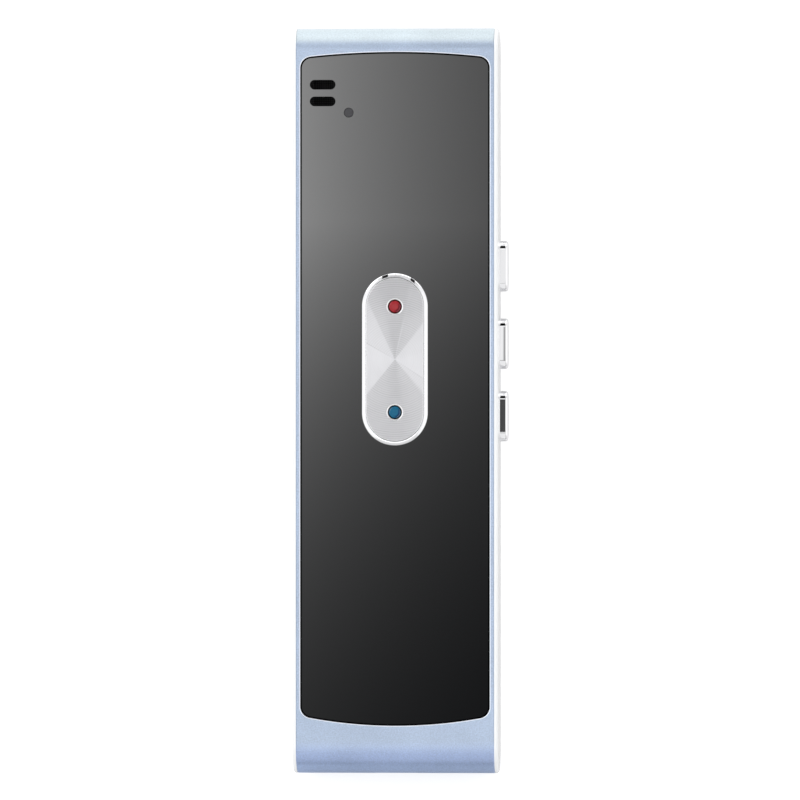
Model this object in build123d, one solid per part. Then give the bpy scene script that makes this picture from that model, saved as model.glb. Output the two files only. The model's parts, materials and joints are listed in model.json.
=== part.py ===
from build123d import *

import os

# Handheld voice translator, a slim stick that lies flat on its back.
# X runs across the body, towards the three side buttons. Y runs along it, towards the sound slots.
# Z points out of the front panel. The origin is the centre of the back face. Lengths are millimetres.

# Body: an aluminium sleeve that wraps front, back and both ends, closed by a cap at each side.
body_length = 138.5
body_thickness = 12.0
sleeve_width = 36.8
sleeve_wall = 1.5
bottom_front_radius = 5.2
bottom_back_radius = 5.2
top_front_radius = 4.1
top_back_radius = 4.5
end_flat = 0.6
least_radius = 0.3

# Clearances that the fitted pieces share.
slip_gap = 0.1
seat_gap = 0.02
cut_margin = 1.0

# Front panel, glued into a shallow recess in the sleeve.
panel_width = 34.75
panel_top_margin = 4.75
panel_bottom_margin = 9.2
panel_top_arch_radius = 150.0
panel_bottom_arch_radius = 88.0
panel_corner_radius = 1.9
panel_thickness = 0.8
panel_gap = 0.2
panel_edge_bevel = 0.12
panel_set_back = 0.1
adhesive_thickness = 0.1
adhesive_inset = 0.4
recess_bevel = 0.16

# Sound slots and the indicator dot, at the upper left of the front.
slot_length = 4.7
slot_width = 1.7
slot_pitch = 3.1
slot_x = -13.45
slot_from_top = 12.1
slot_relief = 0.2
mesh_thickness = 0.1
mesh_border = 0.35
dot_radius = 0.85
dot_x = -8.6
dot_from_top = 15.75
dot_flange_radius = 1.3
dot_flange_thickness = 0.5

# Talk key: an oval rocker in a bright bezel ring.
rocker_y = 7.7
ring_width = 12.3
ring_length = 32.05
ring_band = 0.9
ring_overhang = 0.5
ring_proud = 0.45
ring_outer_round = 0.4
ring_inner_round = 0.35
rocker_gap = 0.15
rocker_set_back = 0.05
rocker_plate_thickness = 0.5
rocker_plate_bevel = 0.12
jewel_seat_bevel = 0.2
carrier_inset = 0.15
carrier_wall = 0.9
carrier_roof = 0.7
carrier_depth = 1.6
jewel_spacing = 19.6
jewel_radius = 1.3
jewel_dome = 0.14
jewel_stem_radius = 1.0
jewel_boss_wall = 0.6
foot_spacing = 12.4
foot_radius = 0.8
foot_gap = 0.05
dome_radius = 2.0
dome_height = 0.55
dome_metal = 0.1
dome_step_radius = 1.5
dome_crown_radius = 0.7
dome_step_height = 0.3

# Pivot pin of the rocker, held in two saddles of the chassis.
pin_radius = 0.6
pin_end_play = 0.1
pin_running_gap = 0.03
pin_hold_gap = 0.05
pin_above_board = 1.2
hub_wall = 0.5
saddle_gap = 0.2
saddle_thickness = 1.2
saddle_width = 3.0
saddle_lip = 0.5
saddle_slot_gap = 0.25

# Main board and the lights on it.
board_room_above = 2.3
board_thickness = 1.0
board_side_gap = 3.0
board_bottom_gap = 0.9
board_top_gap = 5.0
board_corner_radius = 2.0
light_length = 1.6
light_width = 0.8
light_height = 0.6
light_gap = 0.4

# Chassis: an open tray that slides into the sleeve from the side.
standoff_height = 0.6
chassis_plate = 0.8
chassis_side_gap = 2.6
rail_wall = 1.0
end_wall = 1.0
rib_wall = 0.8
rib_height = 2.8
boss_radius = 1.6
boss_depth = 3.2
screw_radius = 0.7
screw_length = 4.0
screw_head_radius = 1.25
screw_head_height = 0.8
screw_socket_depth = 0.4
screw_socket_width = 1.3
screw_x = 12.4
screw_from_bottom = 7.5
screw_from_top = 31.0

# Side caps: a full plate, a rim that slips into the sleeve, and snap clips for the chassis rails.
cap_proud = 0.7
cap_edge_radius = 0.55
cap_edge_land = 0.1
cap_rim_wall = 0.9
cap_rim_depth = 2.0
clip_width = 4.0
clip_arm = 0.8
clip_barb = 0.7
clip_barb_length = 0.7
clip_drop = 0.5
clip_gap = 0.3
clip_from_top = 11.0
clip_above_buttons = 8.2
clip_below_buttons = 14.8
clip_from_bottom = 23.0

# Side buttons and their switches.
button_length = 9.4
button_width = 3.1
button_proud = 1.7
button_round = 0.45
volume_up_y = 10.65
power_button_pitch = 14.4
volume_button_pitch = 13.5
button_gap = 0.12
button_lip = 0.5
button_flange = 0.6
button_stem_length = 2.4
button_stem_width = 1.6
button_travel = 0.35
switch_length = 6.0
switch_depth = 2.6
switch_edge_gap = 0.1
switch_notch_gap = 0.4
plunger_length = 2.6
plunger_width = 1.3
plunger_out = 0.85
plunger_in = 0.4
plunger_gap = 0.15

# Charging socket at the bottom end.
socket_width = 7.5
socket_height = 2.6
socket_foot_width = 5.4
socket_depth = 5.0
socket_wall = 0.3
socket_set_back = 0.4
socket_gap = 0.25
tongue_width = 3.7
tongue_thickness = 0.6
tongue_block = 1.2
tongue_set_back = 0.5

# Battery, behind the lower half.
battery_width = 27.0
battery_length = 44.0
battery_from_bottom = 13.0
battery_back_gap = 0.2
battery_round = 0.9
battery_strip_length = 2.2
battery_strip_inset = 3.0
battery_strip_step = 0.75
tape_thickness = 0.4
tape_inset = 2.0
connector_width = 5.0
connector_length = 3.6
connector_height = 2.4
connector_after_battery = 5.0
lead_thickness = 0.8
lead_width = 2.4
lead_bend = 1.0
lead_straight = 0.8

# Loudspeaker, behind the upper half, and its grille in the back of the sleeve.
speaker_width = 18.0
speaker_length = 12.0
speaker_from_top = 23.0
speaker_corner_radius = 2.0
speaker_band = 1.5
speaker_cone_depth = 0.5
speaker_crown_width = 7.5
speaker_crown_length = 4.5
speaker_crown_drop = 0.25
speaker_top_gap = 0.2
gasket_thickness = 0.6
grille_hole_radius = 0.6
grille_pitch = 2.2
grille_columns = 7
grille_rows = 3
speaker_lead_run = 5.5

# Microphone, behind the sound slots.
microphone_width = 2.95
microphone_length = 3.76
microphone_height = 1.1
microphone_port_radius = 0.3
microphone_port_depth = 0.55
boot_width = 5.2
boot_length = 6.4
boot_wall = 0.8
boot_roof = 0.3
boot_port_radius = 0.7

# Parts soldered on the front of the board.
shield_size = (16.0, 14.0, 1.5)
shield_wall = 0.2
shield_corner_radius = 0.8
shield_from_rocker = 15.0
processor_size = (8.0, 8.0, 0.9)
radio_size = (12.0, 16.0, 0.6)
radio_can_height = 1.3
radio_can_inset = 0.6
radio_can_antenna_room = 3.5
radio_from_rocker = 35.0
chip_size = (4.0, 4.0, 0.8)
charger_x = 8.0
charger_from_bottom = 12.0
amplifier_x = 7.0
amplifier_from_top = 28.0
antenna_size = (7.0, 2.0, 0.8)
antenna_x = 9.5
antenna_from_top = 9.5
chip_bevel = 0.15

# Heights, from the back face up.
inner_front = body_thickness - sleeve_wall
panel_top = body_thickness - panel_set_back
panel_bottom = panel_top - panel_thickness
recess_floor = panel_bottom - adhesive_thickness
ring_top = panel_top + ring_proud
rocker_top = ring_top - rocker_set_back
carrier_top = rocker_top - rocker_plate_thickness
carrier_bottom = carrier_top - carrier_depth
board_top = inner_front - board_room_above
board_bottom = board_top - board_thickness
plate_top = board_bottom - standoff_height
plate_bottom = plate_top - chassis_plate
pin_z = board_top + pin_above_board
skirt_bottom = pin_z + pin_radius + pin_hold_gap
light_top = board_top + light_height
dome_top = board_top + dome_height
button_z = body_thickness / 2
switch_bottom = 2 * button_z - board_bottom

# Places across the body.
sleeve_half = sleeve_width / 2
cap_face = sleeve_half + cap_proud
chassis_half = sleeve_half - chassis_side_gap
rail_inner = chassis_half - rail_wall
board_half = sleeve_half - board_side_gap
flange_outer = sleeve_half - slip_gap
flange_inner = flange_outer - button_flange
switch_face = board_half - switch_edge_gap
plunger_tip = switch_face + plunger_out

# Places along the body.
top_end = body_length / 2
bottom_end = -body_length / 2
inner_end = body_length / 2 - sleeve_wall
chassis_end = inner_end - slip_gap
slot_y = top_end - slot_from_top
dot_y = top_end - dot_from_top
speaker_y = top_end - speaker_from_top
battery_low_y = bottom_end + battery_from_bottom
battery_high_y = battery_low_y + battery_length
connector_y = battery_high_y + connector_after_battery
socket_mouth_y = bottom_end + socket_set_back
socket_back_y = socket_mouth_y + socket_depth
socket_z = board_bottom - socket_height / 2
speaker_lead_y = speaker_y - speaker_length / 2 - speaker_lead_run
button_centres = [volume_up_y + power_button_pitch, volume_up_y, volume_up_y - volume_button_pitch]
clip_centres = [
    top_end - clip_from_top,
    button_centres[0] + clip_above_buttons,
    button_centres[-1] - clip_below_buttons,
    bottom_end + clip_from_bottom,
]
screw_places = [
    (side * screw_x, y)
    for y in (bottom_end + screw_from_bottom, top_end - screw_from_top)
    for side in (-1, 1)
]

# Outlines of the rocker assembly, each as (length, width) of an oval.
ring_outline = (ring_length, ring_width)
skirt_outline = (ring_length - 2 * ring_overhang, ring_width - 2 * ring_overhang)
ring_bore = (ring_length - 2 * ring_band, ring_width - 2 * ring_band)
rocker_outline = (ring_bore[0] - 2 * rocker_gap, ring_bore[1] - 2 * rocker_gap)
carrier_outline = (rocker_outline[0] - 2 * carrier_inset, rocker_outline[1] - 2 * carrier_inset)
hub_half = carrier_outline[1] / 2
saddle_inner = hub_half + saddle_gap
pin_half = saddle_inner + saddle_thickness - pin_end_play
window_outline = (ring_length, 2 * (pin_half + pin_end_play))


def box_between(low, high):
    """Box with two opposite corners at low and high."""
    size = Vector(*high) - Vector(*low)
    return Pos(Vector(*low) + size / 2) * Box(size.X, size.Y, size.Z)


def lift(outline, low, high):
    """Upright prism over a flat outline, between two heights."""
    return Pos(0, 0, low) * extrude(outline, high - low, dir=(0, 0, 1))


def across(outline, low, high):
    """Prism over an outline in the YZ plane, between two places across the body."""
    return Pos(low, 0, 0) * extrude(outline, high - low, dir=(1, 0, 0))


def along(outline, low, high):
    """Prism over an outline in the XZ plane, between two places along the body."""
    return Pos(0, low, 0) * extrude(outline, high - low, dir=(0, 1, 0))


def oval(outline, growth=0):
    """Oval outline about the rocker's centre, its long side along Y, grown by a clearance."""
    length, width = outline
    return Pos(0, rocker_y) * SlotOverall(length + 2 * growth, width + 2 * growth, rotation=90)


def round_block(centre, size, low, high, radius):
    """Upright block with rounded corners, between two heights."""
    return lift(Pos(*centre) * RectangleRounded(*size, radius), low, high)


def post(x, y, radius, low, high):
    """Upright round post or hole, between two heights."""
    return lift(Pos(x, y) * Circle(radius), low, high)


def side_profile(inset):
    """Outline of the body seen from the side, drawn inset from its outer face."""
    half = body_length / 2 - inset
    low = inset
    high = body_thickness - inset
    outline = Pos(0, (low + high) / 2) * Rectangle(2 * half, high - low)
    corners = (
        (-half, low, bottom_back_radius),
        (-half, high, bottom_front_radius),
        (half, low, top_back_radius),
        (half, high, top_front_radius),
    )
    for y, z, radius in corners:
        corner = outline.vertices().sort_by_distance((y, z, 0))[0]
        outer_radius = min(radius, body_thickness / 2 - end_flat / 2)
        outline = fillet(corner, max(outer_radius - inset, least_radius))
    return Plane.YZ * outline


def arch_rise(radius, half_width):
    """Height of a shallow arch of the given radius over its chord."""
    return radius - (radius**2 - half_width**2) ** 0.5


def panel_outline():
    """Front panel seen from the front: straight sides, arched ends and rounded corners."""
    half = panel_width / 2
    top = top_end - panel_top_margin
    bottom = bottom_end + panel_bottom_margin
    shoulder = top - arch_rise(panel_top_arch_radius, half)
    foot = bottom + arch_rise(panel_bottom_arch_radius, half)
    edges = [
        Line((half, foot), (half, shoulder)),
        ThreePointArc((half, shoulder), (0, top), (-half, shoulder)),
        Line((-half, shoulder), (-half, foot)),
        ThreePointArc((-half, foot), (0, bottom), (half, foot)),
    ]
    outline = make_face(edges)
    return fillet(outline.vertices(), panel_corner_radius)


def slot_outlines(growth=0):
    """The two sound slots, one above the other."""
    places = GridLocations(0, slot_pitch, 1, 2)
    slots = [place * SlotOverall(slot_length + 2 * growth, slot_width + 2 * growth) for place in places]
    return Pos(slot_x, slot_y) * (Sketch() + slots)


def grille_outline():
    """Field of round holes in the back, over the loudspeaker."""
    places = GridLocations(grille_pitch, grille_pitch, grille_columns, grille_rows)
    return Pos(0, speaker_y) * (Sketch() + [place * Circle(grille_hole_radius) for place in places])


def socket_outline():
    """Charging socket seen from its mouth: a flat top and a narrower foot."""
    top = socket_height / 2
    half = socket_width / 2
    foot = socket_foot_width / 2
    shoulder = (half - foot) - top
    corners = ((half, top), (half, shoulder), (foot, -top), (-foot, -top), (-half, shoulder), (-half, top))
    return Pos(0, socket_z) * Polygon(*corners, align=None)


def sleeve():
    """Aluminium sleeve: one wrapped loop with the panel recess, grille and socket opening."""
    shell = across(side_profile(0), -sleeve_half, sleeve_half)
    shell -= across(side_profile(sleeve_wall), -sleeve_half, sleeve_half)
    above = body_thickness + cut_margin
    shell -= lift(offset(panel_outline(), panel_gap), recess_floor, above)
    rim = shell.faces().sort_by(Axis.Z)[-1].inner_wires()[0].edges()
    shell = chamfer(rim, recess_bevel)
    shell -= lift(oval(window_outline), inner_front - cut_margin, above)
    shell -= lift(slot_outlines(slot_relief), inner_front - cut_margin, above)
    shell -= post(dot_x, dot_y, dot_radius + slot_relief, inner_front - cut_margin, above)
    shell -= lift(grille_outline(), -cut_margin, sleeve_wall + cut_margin)
    opening = Plane.XZ * offset(socket_outline(), socket_gap)
    shell -= along(opening, bottom_end - cut_margin, bottom_end + sleeve_wall + cut_margin)
    return shell


def cap_clip(y):
    """Snap arm inside the right cap, with a barb that catches behind the chassis rail."""
    top = plate_bottom - clip_drop
    under = top - clip_arm
    catch = rail_inner - slip_gap
    tip = catch - clip_barb_length
    outline = Polygon(
        (sleeve_half, top),
        (tip, top),
        (tip, under),
        (catch, under - clip_barb),
        (catch, under),
        (sleeve_half, under),
        align=None,
    )
    return along(Plane.XZ * outline, y - clip_width / 2, y + clip_width / 2)


def plain_cap():
    """Side cap for the right: rounded plate, slip-in rim and snap clips."""
    plate = across(side_profile(0), sleeve_half, cap_face)
    edge_radius = min(cap_edge_radius, cap_proud - cap_edge_land)
    plate = fillet(plate.faces().sort_by(Axis.X)[-1].edges(), edge_radius)
    inset = sleeve_wall + slip_gap
    rim = side_profile(inset) - side_profile(inset + cap_rim_wall)
    plate += across(rim, sleeve_half - cap_rim_depth, sleeve_half)
    for y in clip_centres:
        plate += cap_clip(y)
    return plate


def button_outline(y, growth=0):
    """Outline of one side button, seen from the side."""
    slot = SlotOverall(button_length + 2 * growth, button_width + 2 * growth)
    return Plane.YZ * (Pos(y, button_z) * slot)


def right_side_cap():
    """Right cap, with a window for each button."""
    cap = plain_cap()
    for y in button_centres:
        cap -= across(button_outline(y, button_gap), sleeve_half - cut_margin, cap_face + cut_margin)
    return cap


def left_side_cap():
    """Left cap, closed all over."""
    return mirror(plain_cap(), about=Plane.YZ)


def front_panel():
    """Glossy panel with the rocker aperture, the sound slots and the hole of the dot."""
    panel = lift(panel_outline(), panel_bottom, panel_top)
    panel = chamfer(panel.faces().sort_by(Axis.Z)[-1].edges(), panel_edge_bevel)
    panel -= lift(oval(skirt_outline, slip_gap), panel_bottom, panel_top)
    panel -= lift(slot_outlines(), panel_bottom, panel_top)
    panel -= post(dot_x, dot_y, dot_radius + seat_gap, panel_bottom, panel_top)
    return panel


def panel_adhesive():
    """Thin adhesive sheet under the panel, cut back from every opening."""
    sheet = lift(offset(panel_outline(), -adhesive_inset), recess_floor, panel_bottom)
    sheet -= lift(oval(window_outline, adhesive_inset), recess_floor, panel_bottom)
    sheet -= lift(slot_outlines(adhesive_inset), recess_floor, panel_bottom)
    sheet -= post(dot_x, dot_y, dot_radius + adhesive_inset, recess_floor, panel_bottom)
    return sheet


def bezel_ring():
    """Bright ring: a rounded flange on the panel, and a skirt that keeps the pivot pin down."""
    flange = lift(oval(ring_outline), panel_top, ring_top)
    flange = fillet(flange.faces().sort_by(Axis.Z)[-1].edges(), ring_outer_round)
    ring = flange + lift(oval(skirt_outline), skirt_bottom, panel_top)
    ring -= lift(oval(ring_bore), skirt_bottom - cut_margin, ring_top + cut_margin)
    bore_edge = ring.faces().sort_by(Axis.Z)[-1].inner_wires()[0].edges()
    return fillet(bore_edge, ring_inner_round)


def jewel_places():
    """Centres of the red and the blue jewel."""
    return {"red": rocker_y + jewel_spacing / 2, "blue": rocker_y - jewel_spacing / 2}


def rocker_plate():
    """Spun metal face of the talk key, with a hole for each jewel."""
    plate = lift(oval(rocker_outline), carrier_top, rocker_top)
    plate = chamfer(plate.faces().sort_by(Axis.Z)[-1].edges(), rocker_plate_bevel)
    for y in jewel_places().values():
        seat_radius = jewel_radius + seat_gap
        plate -= post(0, y, seat_radius, carrier_top, rocker_top)
        flare = Cone(seat_radius, seat_radius + jewel_seat_bevel, jewel_seat_bevel)
        plate -= Pos(0, y, rocker_top - jewel_seat_bevel / 2) * flare
    return plate


def rocker_carrier():
    """Moulded body of the talk key: hollow underneath, with a pin hub, jewel bosses and two feet."""
    roof = carrier_top - carrier_roof
    body = lift(oval(carrier_outline), carrier_bottom, carrier_top)
    body -= lift(oval(carrier_outline, -carrier_wall), carrier_bottom, roof)
    hub_radius = pin_radius + hub_wall
    body += across(Plane.YZ * (Pos(rocker_y, pin_z) * Circle(hub_radius)), -hub_half, hub_half)
    body += box_between((-hub_half, rocker_y - hub_radius, pin_z), (hub_half, rocker_y + hub_radius, roof))
    for side in (-1, 1):
        body += post(0, rocker_y + side * foot_spacing / 2, foot_radius, dome_top + foot_gap, roof)
    for y in jewel_places().values():
        body += post(0, y, jewel_stem_radius + jewel_boss_wall, carrier_bottom, roof)
        body -= post(0, y, jewel_stem_radius + seat_gap, carrier_bottom, carrier_top)
    bore = Plane.YZ * (Pos(rocker_y, pin_z) * Circle(pin_radius + pin_running_gap))
    body -= across(bore, -hub_half, hub_half)
    return body


def jewel(y):
    """Clear jewel: a low domed head in the plate, on a stem that leads light up from the board."""
    head_top = rocker_top - seat_gap
    dome_ball = (jewel_radius**2 + jewel_dome**2) / (2 * jewel_dome)
    ball = Pos(0, y, head_top + jewel_dome - dome_ball) * Sphere(dome_ball)
    head = post(0, y, jewel_radius, carrier_top, head_top + jewel_dome) & ball
    return head + post(0, y, jewel_stem_radius, light_top + light_gap, carrier_top)


def pivot_pin():
    """Steel pin that the rocker tilts about."""
    return across(Plane.YZ * (Pos(rocker_y, pin_z) * Circle(pin_radius)), -pin_half, pin_half)


def snap_dome(side):
    """Stepped metal snap dome on the board, under one foot of the rocker."""
    crown = (
        (dome_radius, 0),
        (dome_step_radius, dome_step_height),
        (dome_crown_radius, dome_height),
        (0, dome_height),
    )
    hollow = ((0, dome_height - dome_metal),) + tuple(
        (radius - dome_metal, max(height - dome_metal, 0)) for radius, height in reversed(crown[:3])
    )
    outline = Plane.XZ * Polygon(*crown, *hollow, align=None)
    return Pos(0, rocker_y + side * foot_spacing / 2, board_top) * revolve(outline, Axis.Z)


def board_light(x, y):
    """Small light-emitting chip on the front of the board."""
    base = box_between(
        (x - light_length / 2, y - light_width / 2, board_top),
        (x + light_length / 2, y + light_width / 2, light_top),
    )
    return chamfer(base.edges().filter_by(Axis.Y).group_by(Axis.Z)[-1], chip_bevel)


def pin_saddle():
    """Right-hand post of the chassis with a U-shaped seat for the pivot pin."""
    low_y = rocker_y - saddle_width / 2
    high_y = rocker_y + saddle_width / 2
    lip = pin_z + saddle_lip
    saddle = box_between((saddle_inner, low_y, plate_top), (saddle_inner + saddle_thickness, high_y, lip))
    seat = pin_radius + seat_gap
    notch = Pos(rocker_y, pin_z) * Circle(seat)
    notch += Pos(rocker_y, pin_z + cut_margin / 2) * Rectangle(2 * seat, cut_margin)
    return saddle - across(Plane.YZ * notch, saddle_inner, saddle_inner + saddle_thickness)


def chassis_ribs():
    """Cross ribs beyond both battery ends, and the pocket wall round the loudspeaker."""
    low_z = plate_bottom - rib_height
    ribs = Part()
    for edge in (battery_low_y - slip_gap - rib_wall, battery_high_y + slip_gap):
        ribs += box_between((-rail_inner, edge, low_z), (rail_inner, edge + rib_wall, plate_bottom))
    centre = (0, speaker_y)
    inner = (speaker_width + 2 * slip_gap, speaker_length + 2 * slip_gap)
    outer = (inner[0] + 2 * rib_wall, inner[1] + 2 * rib_wall)
    wall = round_block(centre, outer, low_z, plate_bottom, speaker_corner_radius + rib_wall)
    wall -= round_block(centre, inner, low_z, plate_bottom, speaker_corner_radius)
    return ribs + wall


def chassis_openings():
    """Windows in the tray for the switches, the socket, the connector, the leads and the clips."""
    high = plate_top + cut_margin
    cuts = []
    for y in button_centres:
        half = switch_length / 2 + switch_notch_gap
        low = (switch_face - switch_depth - switch_notch_gap, y - half, switch_bottom - switch_notch_gap)
        cuts.append(box_between(low, (chassis_half + cut_margin, y + half, high)))
    half = socket_width / 2 + socket_gap
    low = (-half, -inner_end - cut_margin, socket_z - socket_height / 2 - socket_gap)
    cuts.append(box_between(low, (half, socket_back_y + socket_gap, high)))
    half = connector_width / 2 + slip_gap
    low = (-half, battery_high_y + slip_gap + rib_wall, board_bottom - connector_height)
    cuts.append(box_between(low, (half, connector_y + connector_length / 2 + slip_gap, high)))
    half = (lead_width + lead_thickness) / 2
    low = (-half, battery_high_y, plate_bottom - rib_height)
    cuts.append(box_between(low, (half, connector_y, plate_bottom)))
    low = (-half, speaker_lead_y - lead_thickness, plate_bottom - rib_height)
    cuts.append(box_between(low, (half, speaker_y - speaker_length / 2, plate_bottom)))
    low = (-half, speaker_lead_y - lead_thickness, plate_bottom)
    cuts.append(box_between(low, (half, speaker_lead_y + lead_bend + lead_thickness, high)))
    for y in clip_centres:
        half = clip_width / 2 + clip_gap
        top = plate_bottom - clip_drop + clip_gap
        bottom = plate_bottom - clip_drop - clip_arm - clip_barb - clip_gap
        for side in (-1, 1):
            xs = sorted((side * (rail_inner - cut_margin), side * (chassis_half + cut_margin)))
            cuts.append(box_between((xs[0], y - half, bottom), (xs[1], y + half, top)))
    return cuts


def chassis():
    """Moulded tray with side rails, end walls, ribs, screw bosses and the two pin saddles."""
    tray = across(side_profile(sleeve_wall + slip_gap), -chassis_half, chassis_half)
    beyond = (chassis_half + cut_margin, chassis_end + cut_margin, body_thickness)
    tray -= box_between((-beyond[0], -beyond[1], plate_top), beyond)
    pocket = (rail_inner, chassis_end - end_wall, plate_bottom)
    tray -= box_between((-pocket[0], -pocket[1], 0), pocket)
    tray += chassis_ribs()
    for x, y in screw_places:
        tray += post(x, y, boss_radius, plate_bottom - boss_depth, board_bottom)
    for cut in chassis_openings():
        tray -= cut
    for x, y in screw_places:
        tray -= post(x, y, screw_radius + seat_gap, board_top - screw_length, board_bottom)
    saddle = pin_saddle()
    return tray + saddle + mirror(saddle, about=Plane.YZ)


def main_board():
    """Printed board over the whole length, with screw holes and two slots for the saddles."""
    low_y = -inner_end + board_bottom_gap
    high_y = inner_end - board_top_gap
    centre = (0, (low_y + high_y) / 2)
    size = (2 * board_half, high_y - low_y)
    board = round_block(centre, size, board_bottom, board_top, board_corner_radius)
    for x, y in screw_places:
        board -= post(x, y, screw_radius + slip_gap, board_bottom, board_top)
    grow = saddle_slot_gap
    low = (saddle_inner - grow, rocker_y - saddle_width / 2 - grow, board_bottom)
    high = (saddle_inner + saddle_thickness + grow, rocker_y + saddle_width / 2 + grow, board_top)
    slot = box_between(low, high)
    return board - slot - mirror(slot, about=Plane.YZ)


def board_screws():
    """Four screws that hold the board on the bosses of the chassis."""
    screws = []
    for x, y in screw_places:
        head_top = board_top + screw_head_height
        screw = post(x, y, screw_radius, board_top - screw_length, board_top)
        screw += post(x, y, screw_head_radius, board_top, head_top)
        socket = Pos(x, y) * RegularPolygon(screw_socket_width / 2, 6)
        screw -= lift(socket, head_top - screw_socket_depth, head_top)
        screws.append(screw)
    return Part() + screws


def side_button(y):
    """Push button: an oval head in its window, a retaining flange, and the stem behind it."""
    head = across(button_outline(y), flange_inner, cap_face + button_proud)
    head = fillet(head.faces().sort_by(Axis.X)[-1].edges(), button_round)
    head += across(button_outline(y, button_lip), flange_inner, flange_outer)
    low = (plunger_tip, y - button_stem_length / 2, button_z - button_stem_width / 2)
    high = (flange_inner, y + button_stem_length / 2, button_z + button_stem_width / 2)
    return head + box_between(low, high)


def switch_plunger(y):
    """Actuator of a side switch, which the button's stem pushes in."""
    low = (switch_face - plunger_in, y - plunger_length / 2, button_z - plunger_width / 2)
    high = (plunger_tip, y + plunger_length / 2, button_z + plunger_width / 2)
    return box_between(low, high)


def side_switch(y):
    """Body of a side switch on the back of the board, with the well that its plunger runs in."""
    low = (switch_face - switch_depth, y - switch_length / 2, switch_bottom)
    body = box_between(low, (switch_face, y + switch_length / 2, board_bottom))
    well_depth = plunger_in + button_travel + plunger_gap
    half_length = plunger_length / 2 + plunger_gap
    half_width = plunger_width / 2 + plunger_gap
    low = (switch_face - well_depth, y - half_length, button_z - half_width)
    return body - box_between(low, (switch_face, y + half_length, button_z + half_width))


def charging_socket_shell():
    """Folded steel shell of the charging socket, open at its mouth."""
    outline = socket_outline()
    wall = outline - offset(outline, -socket_wall)
    return along(Plane.XZ * wall, socket_mouth_y, socket_back_y)


def charging_socket_tongue():
    """Plastic contact tongue of the socket, on the block that closes the shell's back."""
    plug = offset(socket_outline(), -socket_wall - seat_gap)
    block = along(Plane.XZ * plug, socket_back_y - tongue_block, socket_back_y)
    low = (-tongue_width / 2, socket_mouth_y + tongue_set_back, socket_z - tongue_thickness / 2)
    high = (tongue_width / 2, socket_back_y - tongue_block, socket_z + tongue_thickness / 2)
    return block + box_between(low, high)


def battery():
    """Flat pouch cell with soft edges and a narrower strip at the end where its leads leave."""
    low_z = sleeve_wall + battery_back_gap
    high_z = plate_bottom - tape_thickness
    half = battery_width / 2
    strip_y = battery_high_y - battery_strip_length
    cell = box_between((-half, battery_low_y, low_z), (half, strip_y, high_z))
    round_edges = min(battery_round, (high_z - low_z) / 2 - slip_gap)
    cell = fillet(cell.edges().filter_by(Axis.Y), round_edges)
    half -= battery_strip_inset
    low = (-half, strip_y, low_z + battery_strip_step)
    return cell + box_between(low, (half, battery_high_y, high_z - battery_strip_step))


def battery_tape():
    """Double-sided tape between the battery and the chassis."""
    half = battery_width / 2 - tape_inset
    low = (-half, battery_low_y + tape_inset, plate_bottom - tape_thickness)
    return box_between(low, (half, battery_high_y - battery_strip_length - tape_inset, plate_bottom))


def battery_connector():
    """Plug and header of the battery leads, on the back of the board."""
    half = connector_width / 2
    low = (-half, connector_y - connector_length / 2, board_bottom - connector_height)
    return box_between(low, (half, connector_y + connector_length / 2, board_bottom))


def flat_lead(route, bend):
    """Flat two-core lead along a route of (y, z) points, with rounded bends."""
    middle = FilletPolyline(*route, radius=bend)
    return across(Plane.YZ * trace(middle, lead_thickness), -lead_width / 2, lead_width / 2)


def battery_leads():
    """Lead from the battery's strip up to its connector."""
    low_z = (sleeve_wall + battery_back_gap + plate_bottom - tape_thickness) / 2
    high_z = board_bottom - connector_height / 2
    end_y = connector_y - connector_length / 2
    route = (
        (battery_high_y, low_z),
        (battery_high_y + lead_straight, low_z),
        (end_y - lead_straight, high_z),
        (end_y, high_z),
    )
    return flat_lead(route, lead_bend)


def speaker_leads():
    """Lead from the loudspeaker up to the back of the board."""
    speaker_edge = speaker_y - speaker_length / 2
    middle_z = plate_bottom - rib_height / 2
    route = ((speaker_edge, middle_z), (speaker_lead_y, middle_z), (speaker_lead_y, board_bottom))
    return flat_lead(route, lead_bend)


def speaker_mesh():
    """Fine mesh glued behind the grille."""
    size = (speaker_width - speaker_band, speaker_length - speaker_band)
    return round_block((0, speaker_y), size, sleeve_wall, sleeve_wall + mesh_thickness, speaker_band)


def speaker_gasket():
    """Soft frame that seals the loudspeaker against the mesh."""
    low = sleeve_wall + mesh_thickness
    high = low + gasket_thickness
    centre = (0, speaker_y)
    inner = (speaker_width - 2 * speaker_band, speaker_length - 2 * speaker_band)
    frame = round_block(centre, (speaker_width, speaker_length), low, high, speaker_corner_radius)
    return frame - round_block(centre, inner, low, high, speaker_band)


def loudspeaker():
    """Flat loudspeaker, its sunk cone facing the grille."""
    low = sleeve_wall + mesh_thickness + gasket_thickness
    high = plate_bottom - speaker_top_gap
    centre = (0, speaker_y)
    body = round_block(centre, (speaker_width, speaker_length), low, high, speaker_corner_radius)
    inner = (speaker_width - 2 * speaker_band, speaker_length - 2 * speaker_band)
    body -= round_block(centre, inner, low, low + speaker_cone_depth, speaker_band)
    crown = (speaker_crown_width, speaker_crown_length)
    return body + round_block(centre, crown, low + speaker_crown_drop, high, speaker_band)


def slot_mesh():
    """Fine mesh glued behind the sound slots."""
    border = slot_relief + mesh_border
    size = (slot_length + 2 * border, slot_pitch + slot_width + 2 * border)
    return round_block((slot_x, slot_y), size, inner_front - mesh_thickness, inner_front, mesh_border)


def microphone():
    """Top-port microphone on the board."""
    half_width = microphone_width / 2
    half_length = microphone_length / 2
    top = board_top + microphone_height
    low = (slot_x - half_width, slot_y - half_length, board_top)
    can = box_between(low, (slot_x + half_width, slot_y + half_length, top))
    return can - post(slot_x, slot_y, microphone_port_radius, top - microphone_port_depth, top)


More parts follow.
